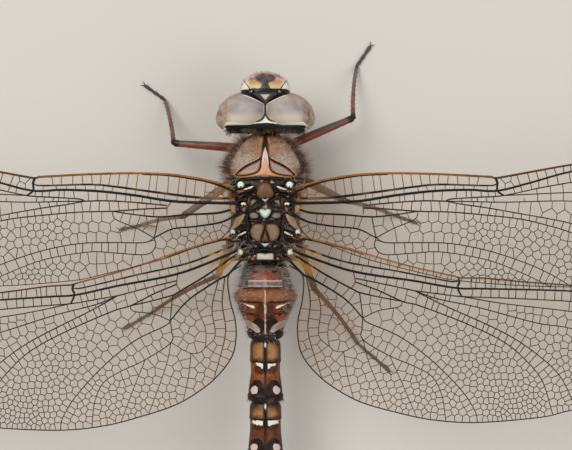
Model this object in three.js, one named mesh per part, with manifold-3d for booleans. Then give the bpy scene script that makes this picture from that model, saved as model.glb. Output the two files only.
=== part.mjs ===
// A hawker dragonfly, life size, standing on six legs with its wings held out flat.
// Millimetres, +Z up, head towards +Y. The floor under the feet is z = 0, and the origin lies on it,
// halfway between the front foot and the tail tip.
import * as THREE from "three";
import { mergeVertices } from "three/addons/utils/BufferGeometryUtils.js";
import Module from "manifold-3d";

const wasm = await Module();
wasm.setup();

// ---- Driving dimensions -------------------------------------------------------------------
const HALF_LENGTH = 36; // origin to the front foot, and origin to the tail tip
const GAP = 0.04; // clearance between neighbouring plates
const WING_THICKNESS = 0.5;
const WING_DROOP = THREE.MathUtils.degToRad(3); // tips lower than the hinges
const ABDOMEN_START = { y: 12.0, z: 9.7 };
const ABDOMEN_DROP = 0.085; // fall of the abdomen's axis for each millimetre of length

// ---- Materials ----------------------------------------------------------------------------
const paint = (hex, roughness, metalness = 0) =>
  new THREE.MeshStandardMaterial({ color: hex, roughness, metalness });
const SKIN = {
  thorax: paint(0x7d5a45, 0.6),
  neck: paint(0x6b4a38, 0.6),
  head: paint(0x1d1714, 0.5),
  eye: paint(0x8f8078, 0.15),
  face: paint(0xd9b566, 0.35),
  mouth: paint(0xb89a62, 0.4),
  feeler: paint(0x17120f, 0.5),
  wing: paint(0xb7a48c, 0.2),
  leg: paint(0x5e3a2c, 0.4),
  foot: paint(0x2b211f, 0.5),
  abdomen: paint(0x6d3a24, 0.35),
  tail: paint(0x2a1c15, 0.4),
};

const group = new THREE.Group();

function add(name, geometry, material) {
  const mesh = new THREE.Mesh(geometry, material);
  mesh.name = name;
  group.add(mesh);
  return mesh;
}

// ---- Solids from manifold-3d and back -----------------------------------------------------
function solidOf(geometry) {
  const bare = geometry.clone();
  bare.deleteAttribute("normal");
  bare.deleteAttribute("uv");
  const merged = mergeVertices(bare, 1e-4);
  return new wasm.Manifold(
    new wasm.Mesh({
      numProp: 3,
      vertProperties: merged.attributes.position.array,
      triVerts: new Uint32Array(merged.index.array),
    }),
  );
}

function geometryOf(solid) {
  const mesh = solid.getMesh();
  return new THREE.BufferGeometry()
    .setAttribute("position", new THREE.BufferAttribute(mesh.vertProperties, 3))
    .setIndex(new THREE.BufferAttribute(mesh.triVerts, 1));
}

// The first geometry without what the others fill.
const without = (geometry, ...others) =>
  geometryOf(others.reduce((left, other) => left.subtract(solidOf(other)), solidOf(geometry)));

// The part of a geometry on one side of a plane: everything over `low` along the axis.
function above(geometry, axis, low) {
  const size = 400;
  const block = new THREE.BoxGeometry(size, size, size);
  const centre = { x: 0, y: 0, z: 0, [axis]: low + size / 2 };
  block.translate(centre.x, centre.y, centre.z);
  return geometryOf(solidOf(geometry).intersect(solidOf(block)));
}

// ---- Shape makers -------------------------------------------------------------------------
// A smooth value along a list of [place, value] pairs, by a monotone cubic.
function smooth(pairs) {
  const slope = pairs.map((_, i) => {
    const before = pairs[Math.max(i - 1, 0)];
    const after = pairs[Math.min(i + 1, pairs.length - 1)];
    const left = (pairs[i][1] - before[1]) * (after[1] - pairs[i][1]);
    return left <= 0 ? 0 : (after[1] - before[1]) / (after[0] - before[0]);
  });
  return (at) => {
    const last = pairs.length - 1;
    const i = Math.min(last - 1, Math.max(0, pairs.findIndex((p) => p[0] > at) - 1));
    const k = at >= pairs[last][0] ? last - 1 : i;
    const [x0, y0] = pairs[k];
    const [x1, y1] = pairs[k + 1];
    const t = THREE.MathUtils.clamp((at - x0) / (x1 - x0), 0, 1);
    const h = x1 - x0;
    const start = (2 * t ** 3 - 3 * t ** 2 + 1) * y0 + (t ** 3 - 2 * t ** 2 + t) * h * slope[k];
    const end = (3 * t ** 2 - 2 * t ** 3) * y1 + (t ** 3 - t ** 2) * h * slope[k + 1];
    return start + end;
  };
}

// A closed body along Y: a cylinder whose rings are set by section(share) at each share of its length.
// A section gives y, x, z, the half width, the reach up and down, and the ring's squareness.
function loft(section, sides, rings) {
  const body = new THREE.CylinderGeometry(1, 1, 1, sides, rings);
  const place = body.attributes.position;
  for (let i = 0; i < place.count; i++) {
    const s = section(0.5 - place.getY(i));
    const radius = Math.hypot(place.getX(i), place.getZ(i));
    const angle = Math.atan2(place.getX(i), place.getZ(i));
    const across = Math.sin(angle);
    const up = Math.cos(angle);
    const bulge = (Math.abs(across) ** s.square + Math.abs(up) ** s.square) ** (-1 / s.square);
    const reach = up > 0 ? s.up : s.down;
    place.setXYZ(
      i,
      (s.x ?? 0) + radius * bulge * across * s.half,
      s.y,
      s.z + radius * bulge * up * reach,
    );
  }
  return body;
}

// A round rod through points, with a radius at each.
function rod(points, radii, sides = 8) {
  const body = new THREE.CylinderGeometry(1, 1, 1, sides, points.length - 1);
  const place = body.attributes.position;
  for (let i = 0; i < place.count; i++) {
    const ring = Math.round((0.5 - place.getY(i)) * (points.length - 1));
    const before = points[Math.max(ring - 1, 0)];
    const after = points[Math.min(ring + 1, points.length - 1)];
    const along = after.clone().sub(before).normalize();
    const side = new THREE.Vector3(0, 0, 1).cross(along);
    if (side.lengthSq() < 1e-6) side.set(1, 0, 0);
    side.normalize();
    const up = along.clone().cross(side);
    const spot = points[ring]
      .clone()
      .addScaledVector(side, place.getX(i) * radii[ring])
      .addScaledVector(up, place.getZ(i) * radii[ring]);
    place.setXYZ(i, spot.x, spot.y, spot.z);
  }
  return body;
}

function ellipsoid(centre, radii, across, down) {
  const ball = new THREE.SphereGeometry(1, across, down);
  ball.scale(radii[0], radii[1], radii[2]);
  return ball.translate(...centre);
}

const point = (x, y, z) => new THREE.Vector3(x, y, z);

const CAPSULE_REAR = 25.95; // back of the head, where the neck meets it

// ---- Thorax -------------------------------------------------------------------------------
// The wing-bearing box: low and narrow at the neck, highest at the ridge ahead of the forewings,
// with the belly rising to the waist.
const THORAX_HALF = smooth([
  [12, 2.1], [12.8, 2.75], [14.5, 3.35], [17, 3.7], [19.5, 4.1], [21.4, 4.33], [22.3, 4.28],
  [23.4, 3.78], [24.4, 2.95], [25.3, 2.4],
]);
const THORAX_TOP = smooth([
  [12, 11.9], [12.8, 12.5], [14.5, 12.95], [17, 13.15], [18.6, 13.2], [19.6, 13.7],
  [21.5, 13.35], [23.2, 12.5], [24.5, 11.5], [25.3, 10.7],
]);
const THORAX_BOTTOM = smooth([
  [12, 7.4], [12.8, 6.5], [14.5, 5.5], [17, 4.6], [19.5, 4.0], [21.5, 3.9], [23.2, 4.3],
  [24.5, 5.3], [25.3, 6.4],
]);
const THORAX_REAR = ABDOMEN_START.y;
const THORAX_FRONT = 25.3;

function thoraxShape(grow = 0) {
  return loft(
    (share) => {
      const y = THREE.MathUtils.lerp(THORAX_FRONT, THORAX_REAR, share);
      const top = THORAX_TOP(y);
      const bottom = THORAX_BOTTOM(y);
      const z = bottom + 0.55 * (top - bottom);
      return { y, z, half: THORAX_HALF(y) + grow, up: top - z + grow, down: z - bottom + grow, square: 2.35 };
    },
    28,
    14,
  );
}
const thorax = thoraxShape();
const thoraxCutter = thoraxShape(GAP);
add("thorax", thorax, SKIN.thorax);

// The prothorax, a small collar between head and thorax that carries the front legs.
add(
  "prothorax",
  loft(
    (share) => {
      const y = THREE.MathUtils.lerp(CAPSULE_REAR - GAP, THORAX_FRONT + GAP, share);
      const half = THREE.MathUtils.lerp(1.1, 1.75, share);
      return { y, z: 8.2, half, up: 1.1 + 0.5 * share, down: 1.5 + 1.2 * share, square: 2.2 };
    },
    20,
    3,
  ),
  SKIN.neck,
);

// ---- Head ---------------------------------------------------------------------------------
const HEAD = { y: 27.0, z: 8.7 };
const EYE = { x: 2.45, y: 27.98, z: 9.0, radii: [2.8, 2.05, 3.75], lean: 0.16, turn: 0.3 };
const OCCIPUT_FRONT = 26.85;

const capsule = loft(
  (share) => {
    const y = THREE.MathUtils.lerp(OCCIPUT_FRONT, CAPSULE_REAR, share);
    const shrink = 1 - 0.25 * share ** 2;
    return { y, z: HEAD.z, half: 4.3 * (1 - 0.12 * share ** 4), up: 2.5 * shrink, down: 3.0 * shrink, square: 2.2 };
  },
  32,
  3,
);
add("head", capsule, SKIN.head);

// The face is a rounded brow over a flat lip, the crown a small knob behind it, and the jaws lie under it.
const FACE = { centre: [0, 29.97, 9.05], radii: [2.6, 2.18, 2.42], across: 20, down: 12 };
const CROWN = { centre: [0, 28.72, 10.75], radii: [1.0, 0.75, 0.9], across: 16, down: 10 };
const JAWS = { centre: [0, 29.35, 6.1], radii: [1.95, 1.85, 1.25], across: 18, down: 12 };
const lump = (form, grow = 0) =>
  ellipsoid(form.centre, form.radii.map((r) => r + grow), form.across, form.down);
const faceCutter = lump(FACE, GAP);
const crownCutter = lump(CROWN, GAP);
const jawsCutter = lump(JAWS, GAP);
add("face", above(without(lump(FACE), crownCutter), "y", OCCIPUT_FRONT + GAP), SKIN.face);
add("crown", lump(CROWN), SKIN.head);
add("mouthparts", above(without(lump(JAWS), faceCutter), "y", OCCIPUT_FRONT + GAP), SKIN.mouth);

// Each eye is an egg that leans in to touch its twin over the crown.
for (const [side, sign] of [["left", -1], ["right", 1]]) {
  const egg = new THREE.SphereGeometry(1, 20, 14);
  egg.scale(...EYE.radii);
  egg.rotateZ(-sign * EYE.turn);
  egg.rotateY(-sign * EYE.lean);
  egg.translate(sign * EYE.x, EYE.y, EYE.z);
  const shaped = without(egg, faceCutter, crownCutter, jawsCutter);
  const ahead = above(shaped, "y", OCCIPUT_FRONT + GAP);
  const flip = new THREE.Matrix4().makeScale(sign, 1, 1);
  const halved = solidOf(ahead).transform(flip.elements);
  const clear = above(geometryOf(halved), "x", GAP / 2);
  add(`eye_${side}`, geometryOf(solidOf(clear).transform(flip.elements)), SKIN.eye);

  // A bristle feeler on a short stub, beside the crown.
  const feeler = rod(
    [
      point(sign * 1.25, 29.95, 11.35),
      point(sign * 1.5, 30.2, 11.9),
      point(sign * 1.85, 30.75, 13.0),
      point(sign * 2.15, 31.3, 14.2),
    ],
    [0.3, 0.27, 0.25, 0.25],
    8,
  );
  add(`antenna_${side}`, without(feeler, faceCutter), SKIN.feeler);
}

// ---- Wings --------------------------------------------------------------------------------
// Outlines lie in the wing's own plane: x away from the body, y towards the head, from the hinge.
// The front edge has its notch at the nodus, and the two edges meet at the tip.
const FOREWING = {
  hinge: [3.99, 18.7, 12.7],
  root: [-0.75, 1.0],
  arm: [[0.15, 1.17], [3.36, 2.02], [6.2, 2.49], [10, 2.63], [14.7, 2.53], [20.16, 2.25]],
  outer: [
    [20.54, 2.11], [24.1, 2.77], [28.2, 3.5], [33.5, 4.25], [38.5, 4.45], [42.6, 3.6], [45.1, 1.7],
    [45.5, -0.2],
  ],
  rear: [
    [44.6, -2.6], [41.5, -5.6], [37, -7.9], [32, -9.1], [28.2, -9.4], [22, -9.2], [16.2, -8.7],
    [13.3, -8.1], [7, -6.5], [2.8, -5.0], [0.9, -4.4], [-0.3, -3.2], [-0.9, -2.0],
  ],
};
const HINDWING = {
  hinge: [3.47, 12.6, 12.2],
  root: [-0.9, 1.2],
  arm: [[1.05, 1.9], [4.8, 0.95], [8.6, -0.2], [12.4, -1.24], [16.7, -2.18]],
  outer: [
    [17.2, -2.36], [19.9, -2.4], [23.7, -2.75], [28.8, -3.13], [35, -3.6], [40, -4.6], [43.4, -6.4],
    [44.9, -8.8],
  ],
  rear: [
    [44.2, -10.6], [41, -12.9], [36, -14.8], [28.8, -16.5], [25.6, -17.2], [19, -17.7], [14.3, -17.4],
    [10.5, -16.6], [6.7, -15.5], [3.9, -14], [2, -12.5], [0.5, -10.6], [0, -8.7], [0, -6.8],
    [0.48, -4.5], [0.5, -2.1], [-0.9, -1.0],
  ],
};
const OUTLINE_STEPS = { arm: 10, outer: 16, rear: 34 };

function wingOutline(wing) {
  const shape = new THREE.Shape();
  shape.moveTo(...wing.root);
  for (const edge of ["arm", "outer", "rear"]) {
    const curve = new THREE.SplineCurve(wing[edge].map((p) => new THREE.Vector2(...p)));
    for (const p of curve.getPoints(OUTLINE_STEPS[edge])) shape.lineTo(p.x, p.y);
  }
  return shape;
}

function addWing(name, wing, sign, sweep) {
  const plate = new THREE.ExtrudeGeometry(wingOutline(wing), {
    depth: WING_THICKNESS,
    bevelEnabled: false,
  });
  plate.translate(0, 0, -WING_THICKNESS / 2);
  plate.rotateZ(-THREE.MathUtils.degToRad(sweep));
  plate.rotateY(WING_DROOP);
  plate.translate(...wing.hinge);
  const right = solidOf(plate).subtract(solidOf(thoraxCutter));
  const flip = new THREE.Matrix4().makeScale(sign, 1, 1);
  add(name, geometryOf(right.transform(flip.elements)), SKIN.wing);
}
addWing("wing_fore_right", FOREWING, 1, 0);
addWing("wing_fore_left", FOREWING, -1, 0);
addWing("wing_hind_right", HINDWING, 1, 0);
addWing("wing_hind_left", HINDWING, -1, 2.5);

// ---- Legs ---------------------------------------------------------------------------------
// Each leg: hip, knee, ankle and toe. The foot lies on the floor on a narrow flat.
const FOOT_AXIS = 0.2;
const FRONT_TOE_Y = HALF_LENGTH - 0.14; // the tip of the foot's round end lies at HALF_LENGTH
const LEGS = {
  fore_left: { hip: [-1.5, 24.1, 4.9], knee: [-10.0, 24.75, 4.6], ankle: [-11.2, 29.7], toe: [-13.65, 31.45] },
  fore_right: { hip: [1.5, 24.1, 4.9], knee: [9.5, 27.5, 4.2], ankle: [10.0, 33.4], toe: [11.7, FRONT_TOE_Y] },
  middle_left: { hip: [-1.75, 21.9, 4.0], knee: [-9.0, 16.8, 5.2], ankle: [-13.8, 15.85], toe: [-16.35, 15.3] },
  middle_right: { hip: [1.75, 21.9, 4.0], knee: [8.7, 18.45, 5.2], ankle: [14.1, 16.95], toe: [16.9, 16.0] },
  hind_left: { hip: [-1.75, 19.2, 4.0], knee: [-5.15, 10.4, 5.4], ankle: [-12.5, 6.25], toe: [-16.0, 4.2] },
  hind_right: { hip: [1.75, 19.2, 4.0], knee: [5.3, 8.9, 5.4], ankle: [10.15, 2.75], toe: [14.1, -0.7] },
};
const THIGH_RADII = [0.62, 0.6, 0.5, 0.42];
const SHIN_RADII = [0.36, 0.3, 0.27, 0.25];
const FOOT_RADII = [0.25, 0.27, 0.25, 0.25];
const KNEE_GAP = 0.42; // from the end of the thigh to the start of the shin, centre to centre

// Points at even shares between two ends, with both ends drawn in by the given lengths.
function between(from, to, count, inset = [0, 0]) {
  const along = to.clone().sub(from);
  const unit = along.clone().normalize();
  const start = from.clone().addScaledVector(unit, inset[0]);
  const end = to.clone().addScaledVector(unit, -inset[1]);
  return Array.from({ length: count }, (_, i) => start.clone().lerp(end, i / (count - 1)));
}

for (const [name, leg] of Object.entries(LEGS)) {
  const hip = point(...leg.hip);
  const knee = point(...leg.knee);
  const ankle = point(leg.ankle[0], leg.ankle[1], FOOT_AXIS);
  const toe = point(leg.toe[0], leg.toe[1], FOOT_AXIS);
  const thigh = rod(between(hip, knee, 4), THIGH_RADII);
  const shin = rod(between(knee, ankle, 4, [KNEE_GAP, 0.3]), SHIN_RADII);
  const foot = above(rod(between(ankle, toe, 4), FOOT_RADII), "z", 0);
  const footCutter = rod(between(ankle, toe, 4), FOOT_RADII.map((r) => r + GAP));
  add(`leg_${name}_femur`, without(thigh, thoraxCutter), SKIN.leg);
  add(`leg_${name}_tibia`, without(shin, thigh, footCutter), SKIN.leg);
  add(`leg_${name}_tarsus`, foot, SKIN.foot);
}

// ---- Abdomen ------------------------------------------------------------------------------
// Ten rings. Each row is the ring's length, then half widths at its front, middle and rear, and how deep
// the ring is for its width.
const RINGS = [
  [2.78, [2.05, 2.3, 2.65], 0.98],
  [5.44, [2.9, 3.12, 1.9], 0.95],
  [6.71, [1.64, 1.58, 1.82], 0.96],
  [6.02, [1.7, 1.7, 1.85], 0.96],
  [5.8, [1.7, 1.74, 1.88], 0.96],
  [5.6, [1.76, 1.8, 1.9], 0.95],
  [5.1, [1.78, 1.8, 1.86], 0.95],
  [3.9, [1.74, 1.74, 1.76], 0.96],
  [2.85, [1.64, 1.58, 1.52], 1.0],
  [1.4, [1.42, 1.32, 1.17], 0.95],
];
const axisHeight = (y) => ABDOMEN_START.z - ABDOMEN_DROP * (ABDOMEN_START.y - y);
const FLANGE = 0.09; // the hard rim at a ring's rear stands this far out

let front = ABDOMEN_START.y - GAP;
RINGS.forEach(([length, halves, depth], i) => {
  const start = front;
  const end = front - length + GAP;
  const half = smooth([
    [0, halves[0] * 0.9], [0.1, halves[0]], [0.45, halves[1]], [0.9, halves[2]],
    [0.93, halves[2] + FLANGE], [1, halves[2] + FLANGE * 0.6],
  ]);
  const ring = loft(
    (share) => {
      const y = THREE.MathUtils.lerp(start, end, share);
      const w = half(share);
      return { y, z: axisHeight(y), half: w, up: w * depth, down: w * depth * 1.04, square: 2.15 };
    },
    16,
    7,
  );
  add(`abdomen_${i + 1}`, ring, i < 7 ? SKIN.abdomen : SKIN.tail);
  front -= length;
});

// Two leaf-shaped tail blades, and the egg-laying blade's sheath under rings eight and nine.
const TAIL_START = front - GAP;
for (const [side, sign] of [["left", -1], ["right", 1]]) {
  const blade = loft(
    (share) => {
      const y = THREE.MathUtils.lerp(TAIL_START, -HALF_LENGTH, share);
      const half = 0.28 + 0.27 * Math.sin(Math.PI * share ** 0.8);
      const x = sign * (0.66 + 0.1 * share);
      return { y, x, z: axisHeight(y) + 0.2, half, up: 0.27, down: 0.27, square: 2 };
    },
    10,
    8,
  );
  add(`cercus_${side}`, blade, SKIN.tail);
}
const RING_NINE_Y = front + RINGS[9][0] + RINGS[8][0] / 2;
const sheath = ellipsoid([0, RING_NINE_Y, axisHeight(RING_NINE_Y) - 1.65], [0.45, 1.5, 0.55], 14, 10);
const ringsCutter = loft(
  (share) => {
    const y = THREE.MathUtils.lerp(RING_NINE_Y + 4, RING_NINE_Y - 4, share);
    return { y, z: axisHeight(y), half: 1.75, up: 1.75, down: 1.75, square: 2.15 };
  },
  20,
  2,
);
add("ovipositor", without(sheath, ringsCutter), SKIN.tail);

export default group;
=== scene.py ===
"""A hawker dragonfly, life size, standing on six legs with its wings held out flat.

Sizes are in millimetres in the insect's own frame: +X to its right, +Y to its head, +Z up, with the floor
at 0. A mesh is turned to metres when its object is made.
"""
import math

import bmesh
import bpy
import numpy as np
from mathutils import Euler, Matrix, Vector
from mathutils.geometry import delaunay_2d_cdt


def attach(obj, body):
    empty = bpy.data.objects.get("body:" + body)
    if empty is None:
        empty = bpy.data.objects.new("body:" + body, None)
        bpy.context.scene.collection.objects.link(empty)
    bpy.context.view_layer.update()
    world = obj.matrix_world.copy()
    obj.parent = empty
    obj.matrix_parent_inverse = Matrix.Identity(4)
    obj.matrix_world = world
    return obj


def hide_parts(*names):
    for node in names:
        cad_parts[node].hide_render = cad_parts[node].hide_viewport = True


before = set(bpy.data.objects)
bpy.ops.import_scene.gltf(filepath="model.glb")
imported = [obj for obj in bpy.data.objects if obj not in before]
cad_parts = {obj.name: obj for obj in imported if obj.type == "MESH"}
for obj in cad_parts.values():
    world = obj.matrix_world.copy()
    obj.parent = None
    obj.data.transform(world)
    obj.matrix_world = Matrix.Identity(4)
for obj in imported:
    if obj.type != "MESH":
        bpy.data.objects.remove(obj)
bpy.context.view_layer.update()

MM = 0.001
BODY = "root"
SIDES = {"left": -1, "right": 1}


# ---- Shader maths --------------------------------------------------------------------------
MIX_FIRST, MIX_SECOND, MIX_RESULT = 6, 7, 2  # the colour sockets of a Mix node


class Wire:
    """A socket in a material's tree. Sums written with it add Math nodes."""

    def __init__(self, finish, socket):
        self.finish = finish
        self.socket = socket

    def __rsub__(self, other):
        return self.finish.node("ShaderNodeMath", [other, self], operation="SUBTRACT")


def math_method(operation):
    """A method that adds one Math node, with the wire as its first value."""
    return lambda wire, *others: wire.finish.node("ShaderNodeMath", [wire, *others], operation=operation)


WIRE_METHODS = {
    "__add__": "ADD", "__radd__": "ADD", "__sub__": "SUBTRACT", "__mul__": "MULTIPLY",
    "__rmul__": "MULTIPLY", "__truediv__": "DIVIDE", "most": "MAXIMUM", "size": "ABSOLUTE",
}
for method, operation in WIRE_METHODS.items():
    setattr(Wire, method, math_method(operation))


class Finish:
    """A material: a Principled surface and the nodes that feed it."""

    def __init__(self, name, **constants):
        self.material = bpy.data.materials.new(name)
        self.material.use_nodes = True
        self.tree = self.material.node_tree
        self.surface = self.tree.nodes["Principled BSDF"]
        self.surface.inputs["Specular IOR Level"].default_value = 0.22
        self.colour = None
        self.set(**constants)

    def node(self, kind, inputs=(), out=0, **settings):
        """Adds one node: its settings, then its sockets by place or by name."""
        node = self.tree.nodes.new(kind)
        for setting, value in settings.items():
            setattr(node, setting, value)
        pairs = inputs.items() if isinstance(inputs, dict) else enumerate(inputs)
        for key, value in pairs:
            self.feed(node.inputs[key], value)
        return Wire(self, node.outputs[out])

    def feed(self, socket, value):
        """Gives a socket a wire, a constant or a colour's hex code."""
        if isinstance(value, Wire):
            self.tree.links.new(value.socket, socket)
        else:
            socket.default_value = tone(value) if isinstance(value, str) else value

    def set(self, **sockets):
        """Feeds the surface's sockets; an underscore stands for a space in a socket's name."""
        for socket, value in sockets.items():
            self.feed(self.surface.inputs[socket.replace("_", " ")], value)
        return self

    def place(self):
        """Object coordinates in millimetres, as one vector."""
        coordinates = self.node("ShaderNodeTexCoord", out="Object")
        sockets = {0: coordinates, "Scale": 1 / MM}
        return self.node("ShaderNodeVectorMath", sockets, operation="SCALE")

    def axes(self):
        """Object coordinates in millimetres, as x, y and z."""
        split = self.node("ShaderNodeSeparateXYZ", [self.place()]).socket.node
        return [Wire(self, split.outputs[i]) for i in range(3)]

    def attribute(self, name):
        """A value stored at each point."""
        return self.node("ShaderNodeAttribute", out="Fac", attribute_name=name)

    def step(self, value, low, high):
        """0 below low and 1 above high, with a smooth rise. low may be over high."""
        sockets = {"Value": value, "From Min": low, "From Max": high}
        return self.node("ShaderNodeMapRange", sockets, interpolation_type="SMOOTHSTEP")

    def band(self, value, low, high, soft):
        """1 between low and high."""
        rise = self.step(value, low - soft, low + soft)
        return rise * self.step(value, high + soft, high - soft)

    def spot(self, x, y, centre, radii, soft=0.15):
        """1 inside an ellipse."""
        across = (x - centre[0]) / radii[0]
        along = (y - centre[1]) / radii[1]
        return self.step(across * across + along * along, 1 + soft, 1 - soft)

    def mix(self, share, first, second):
        """A colour between two."""
        node = self.tree.nodes.new("ShaderNodeMix")
        node.data_type = "RGBA"
        self.feed(node.inputs["Factor"], share)
        self.feed(node.inputs[MIX_FIRST], first)
        self.feed(node.inputs[MIX_SECOND], second)
        return Wire(self, node.outputs[MIX_RESULT])

    def blend(self, value, low, high, first, second):
        """The first colour where a value is at low, turning to the second at high."""
        return self.mix(self.step(value, low, high), first, second)

    def paint(self, share, colour):
        """Lays a colour over the one so far, as much as share says."""
        self.colour = self.mix(share, self.colour, colour)

    def noise(self, scale, detail=3.0, stretch=None, distortion=0.0):
        """Noise from 0 to 1; scale is in features for each millimetre."""
        place = self.place()
        if stretch:
            place = self.node("ShaderNodeVectorMath", [place, stretch], operation="MULTIPLY")
        sockets = {"Vector": place, "Scale": scale, "Detail": detail, "Distortion": distortion}
        return self.node("ShaderNodeTexNoise", sockets)

    def bump(self, height, strength, depth):
        """A normal from a height; depth is in millimetres."""
        sockets = {"Height": height, "Strength": strength, "Distance": depth * MM}
        return self.node("ShaderNodeBump", sockets)


def tone(hex_code):
    """A colour in linear light from its hex code."""
    parts = [int(hex_code[i : i + 2], 16) / 255 for i in (1, 3, 5)]
    linear = [p / 12.92 if p <= 0.04045 else ((p + 0.055) / 1.055) ** 2.4 for p in parts]
    return (*linear, 1.0)


# ---- Meshes and pieces ---------------------------------------------------------------------
def make_mesh(name, points, faces, edges=()):
    """A mesh from points in millimetres."""
    mesh = bpy.data.meshes.new(name)
    mesh.from_pydata((np.asarray(points, float) * MM).tolist(), list(edges), list(faces))
    mesh.update()
    return mesh


def point_values(mesh, values):
    """Stores a value for each point under each name."""
    for label, parts in values.items():
        layer = mesh.attributes.new(label, "FLOAT", "POINT")
        layer.data.foreach_set("value", np.concatenate(parts).astype(np.float32))
    return mesh


def flat_mesh(outline, inner):
    """The points and faces of a flat area: its outline's points, then those inside."""
    points = [Vector(p) for p in [*outline, *inner]]
    flat, _, faces, *_ = delaunay_2d_cdt(points, [], [list(range(len(outline)))], 1, 1e-5)
    return np.array([tuple(p) for p in flat]), [tuple(face) for face in faces]


def sheet(top, bottom, upper):
    """A closed shape from two copies of a flat area's points and the faces of one."""
    count = len(top)
    seen = {(a, b): True for face in upper for a, b in zip(face, face[1:] + face[:1])}
    walls = [(b, a, count + a, count + b) for a, b in seen if (b, a) not in seen]
    lower = [tuple(count + i for i in reversed(face)) for face in upper]
    return np.concatenate([top, bottom]), upper + lower + walls


def add_piece(name, mesh, finish, replaces=()):
    """An object for a finished mesh, riding on the body."""
    piece = bpy.data.objects.new(name, mesh)
    bpy.context.scene.collection.objects.link(piece)
    mesh.materials.clear()
    mesh.materials.append(finish.material)
    mesh.polygons.foreach_set("use_smooth", [True] * len(mesh.polygons))
    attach(piece, BODY)
    if replaces:
        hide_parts(*replaces)


def plain_mesh(holder):
    """The holder's mesh as its modifiers leave it. The holder is removed."""
    depsgraph = bpy.context.evaluated_depsgraph_get()
    mesh = bpy.data.meshes.new_from_object(holder.evaluated_get(depsgraph), depsgraph=depsgraph)
    mesh.name = holder.name
    old = holder.data
    bpy.data.objects.remove(holder)
    bpy.data.meshes.remove(old)
    return mesh


def spline(points, step=0.25):
    """Points along a smooth curve through the given ones, about `step` apart."""
    points = np.asarray(points, float)
    ends = [2 * points[0] - points[1], *points, 2 * points[-1] - points[-2]]
    knots = np.asarray(ends)
    path = [points[0]]
    for before, start, end, after in zip(knots, knots[1:], knots[2:], knots[3:]):
        count = max(1, round(float(np.linalg.norm(end - start)) / step))
        for i in range(1, count + 1):
            t = i / count
            path.append(
                0.5
                * (
                    2 * start
                    + (end - before) * t
                    + (2 * before - 5 * start + 4 * end - after) * t**2
                    + (3 * start - before - 3 * end + after) * t**3
                )
            )
    return np.array(path)


def distances(path):
    """How far along a path each of its points is."""
    return np.concatenate([[0], np.cumsum(np.linalg.norm(np.diff(path, axis=0), axis=1))])


def path_shares(path):
    """The same as a share of the path's length."""
    far = distances(path)
    return far / far[-1]


# ---- Geometry Nodes ------------------------------------------------------------------------
class Recipe:
    """A Geometry Nodes tree with named inputs, run on one mesh at a time."""

    def __init__(self, name, **inputs):
        self.tree = bpy.data.node_groups.new(name, "GeometryNodeTree")
        face = self.tree.interface
        face.new_socket("Geometry", in_out="INPUT", socket_type="NodeSocketGeometry")
        self.sockets = {}
        for label, kind in inputs.items():
            made = face.new_socket(label, in_out="INPUT", socket_type=f"NodeSocket{kind}")
            self.sockets[label] = made.identifier
        face.new_socket("Geometry", in_out="OUTPUT", socket_type="NodeSocketGeometry")
        self.source = self.tree.nodes.new("NodeGroupInput")

    def given(self, label):
        """The socket of one of the tree's inputs."""
        return self.source.outputs[label]

    def node(self, kind, inputs=None, out=0, **settings):
        """Adds one node and gives the socket it ends in."""
        node = self.tree.nodes.new(kind)
        for setting, value in settings.items():
            setattr(node, setting, value)
        for key, value in (inputs or {}).items():
            if isinstance(value, bpy.types.NodeSocket):
                self.tree.links.new(value, node.inputs[key])
            else:
                node.inputs[key].default_value = value
        return node.outputs[out]

    def end(self, geometry):
        """Makes instances real, gives them their material and closes the tree."""
        real = self.node("GeometryNodeRealizeInstances", {"Geometry": geometry})
        painted = self.node(
            "GeometryNodeSetMaterial", {"Geometry": real, "Material": self.given("Material")}
        )
        sink = self.tree.nodes.new("NodeGroupOutput")
        self.tree.links.new(painted, sink.inputs[0])

    def run(self, mesh, **values):
        """The plain mesh that the tree makes of a mesh."""
        holder = bpy.data.objects.new(mesh.name, mesh)
        bpy.context.scene.collection.objects.link(holder)
        modifier = holder.modifiers.new("recipe", "NODES")
        modifier.node_group = self.tree
        for label, value in values.items():
            modifier[self.sockets[label]] = value
        return plain_mesh(holder)


def tube_recipe():
    """Round tubes along a mesh's edges; the point attribute `thick` is each point's radius."""
    recipe = Recipe("Tubes", Sides="Int", Material="Material")
    lines = recipe.node("GeometryNodeMeshToCurve", {"Mesh": recipe.given("Geometry")})
    radius = recipe.node("GeometryNodeInputNamedAttribute", {"Name": "thick"}, data_type="FLOAT")
    ring = recipe.node(
        "GeometryNodeCurvePrimitiveCircle", {"Resolution": recipe.given("Sides"), "Radius": 1.0}
    )
    tubes = recipe.node(
        "GeometryNodeCurveToMesh",
        {"Curve": lines, "Profile Curve": ring, "Scale": radius, "Fill Caps": True},
    )
    recipe.end(tubes)
    return recipe


def line_mesh(name, paths, attributes):
    """A mesh of loose edges along paths, with a value for each point in each attribute."""
    points = np.concatenate(paths)
    edges = []
    start = 0
    for path in paths:
        edges += [(start + i, start + i + 1) for i in range(len(path) - 1)]
        start += len(path)
    return point_values(make_mesh(name, points, (), edges), attributes)


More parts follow.
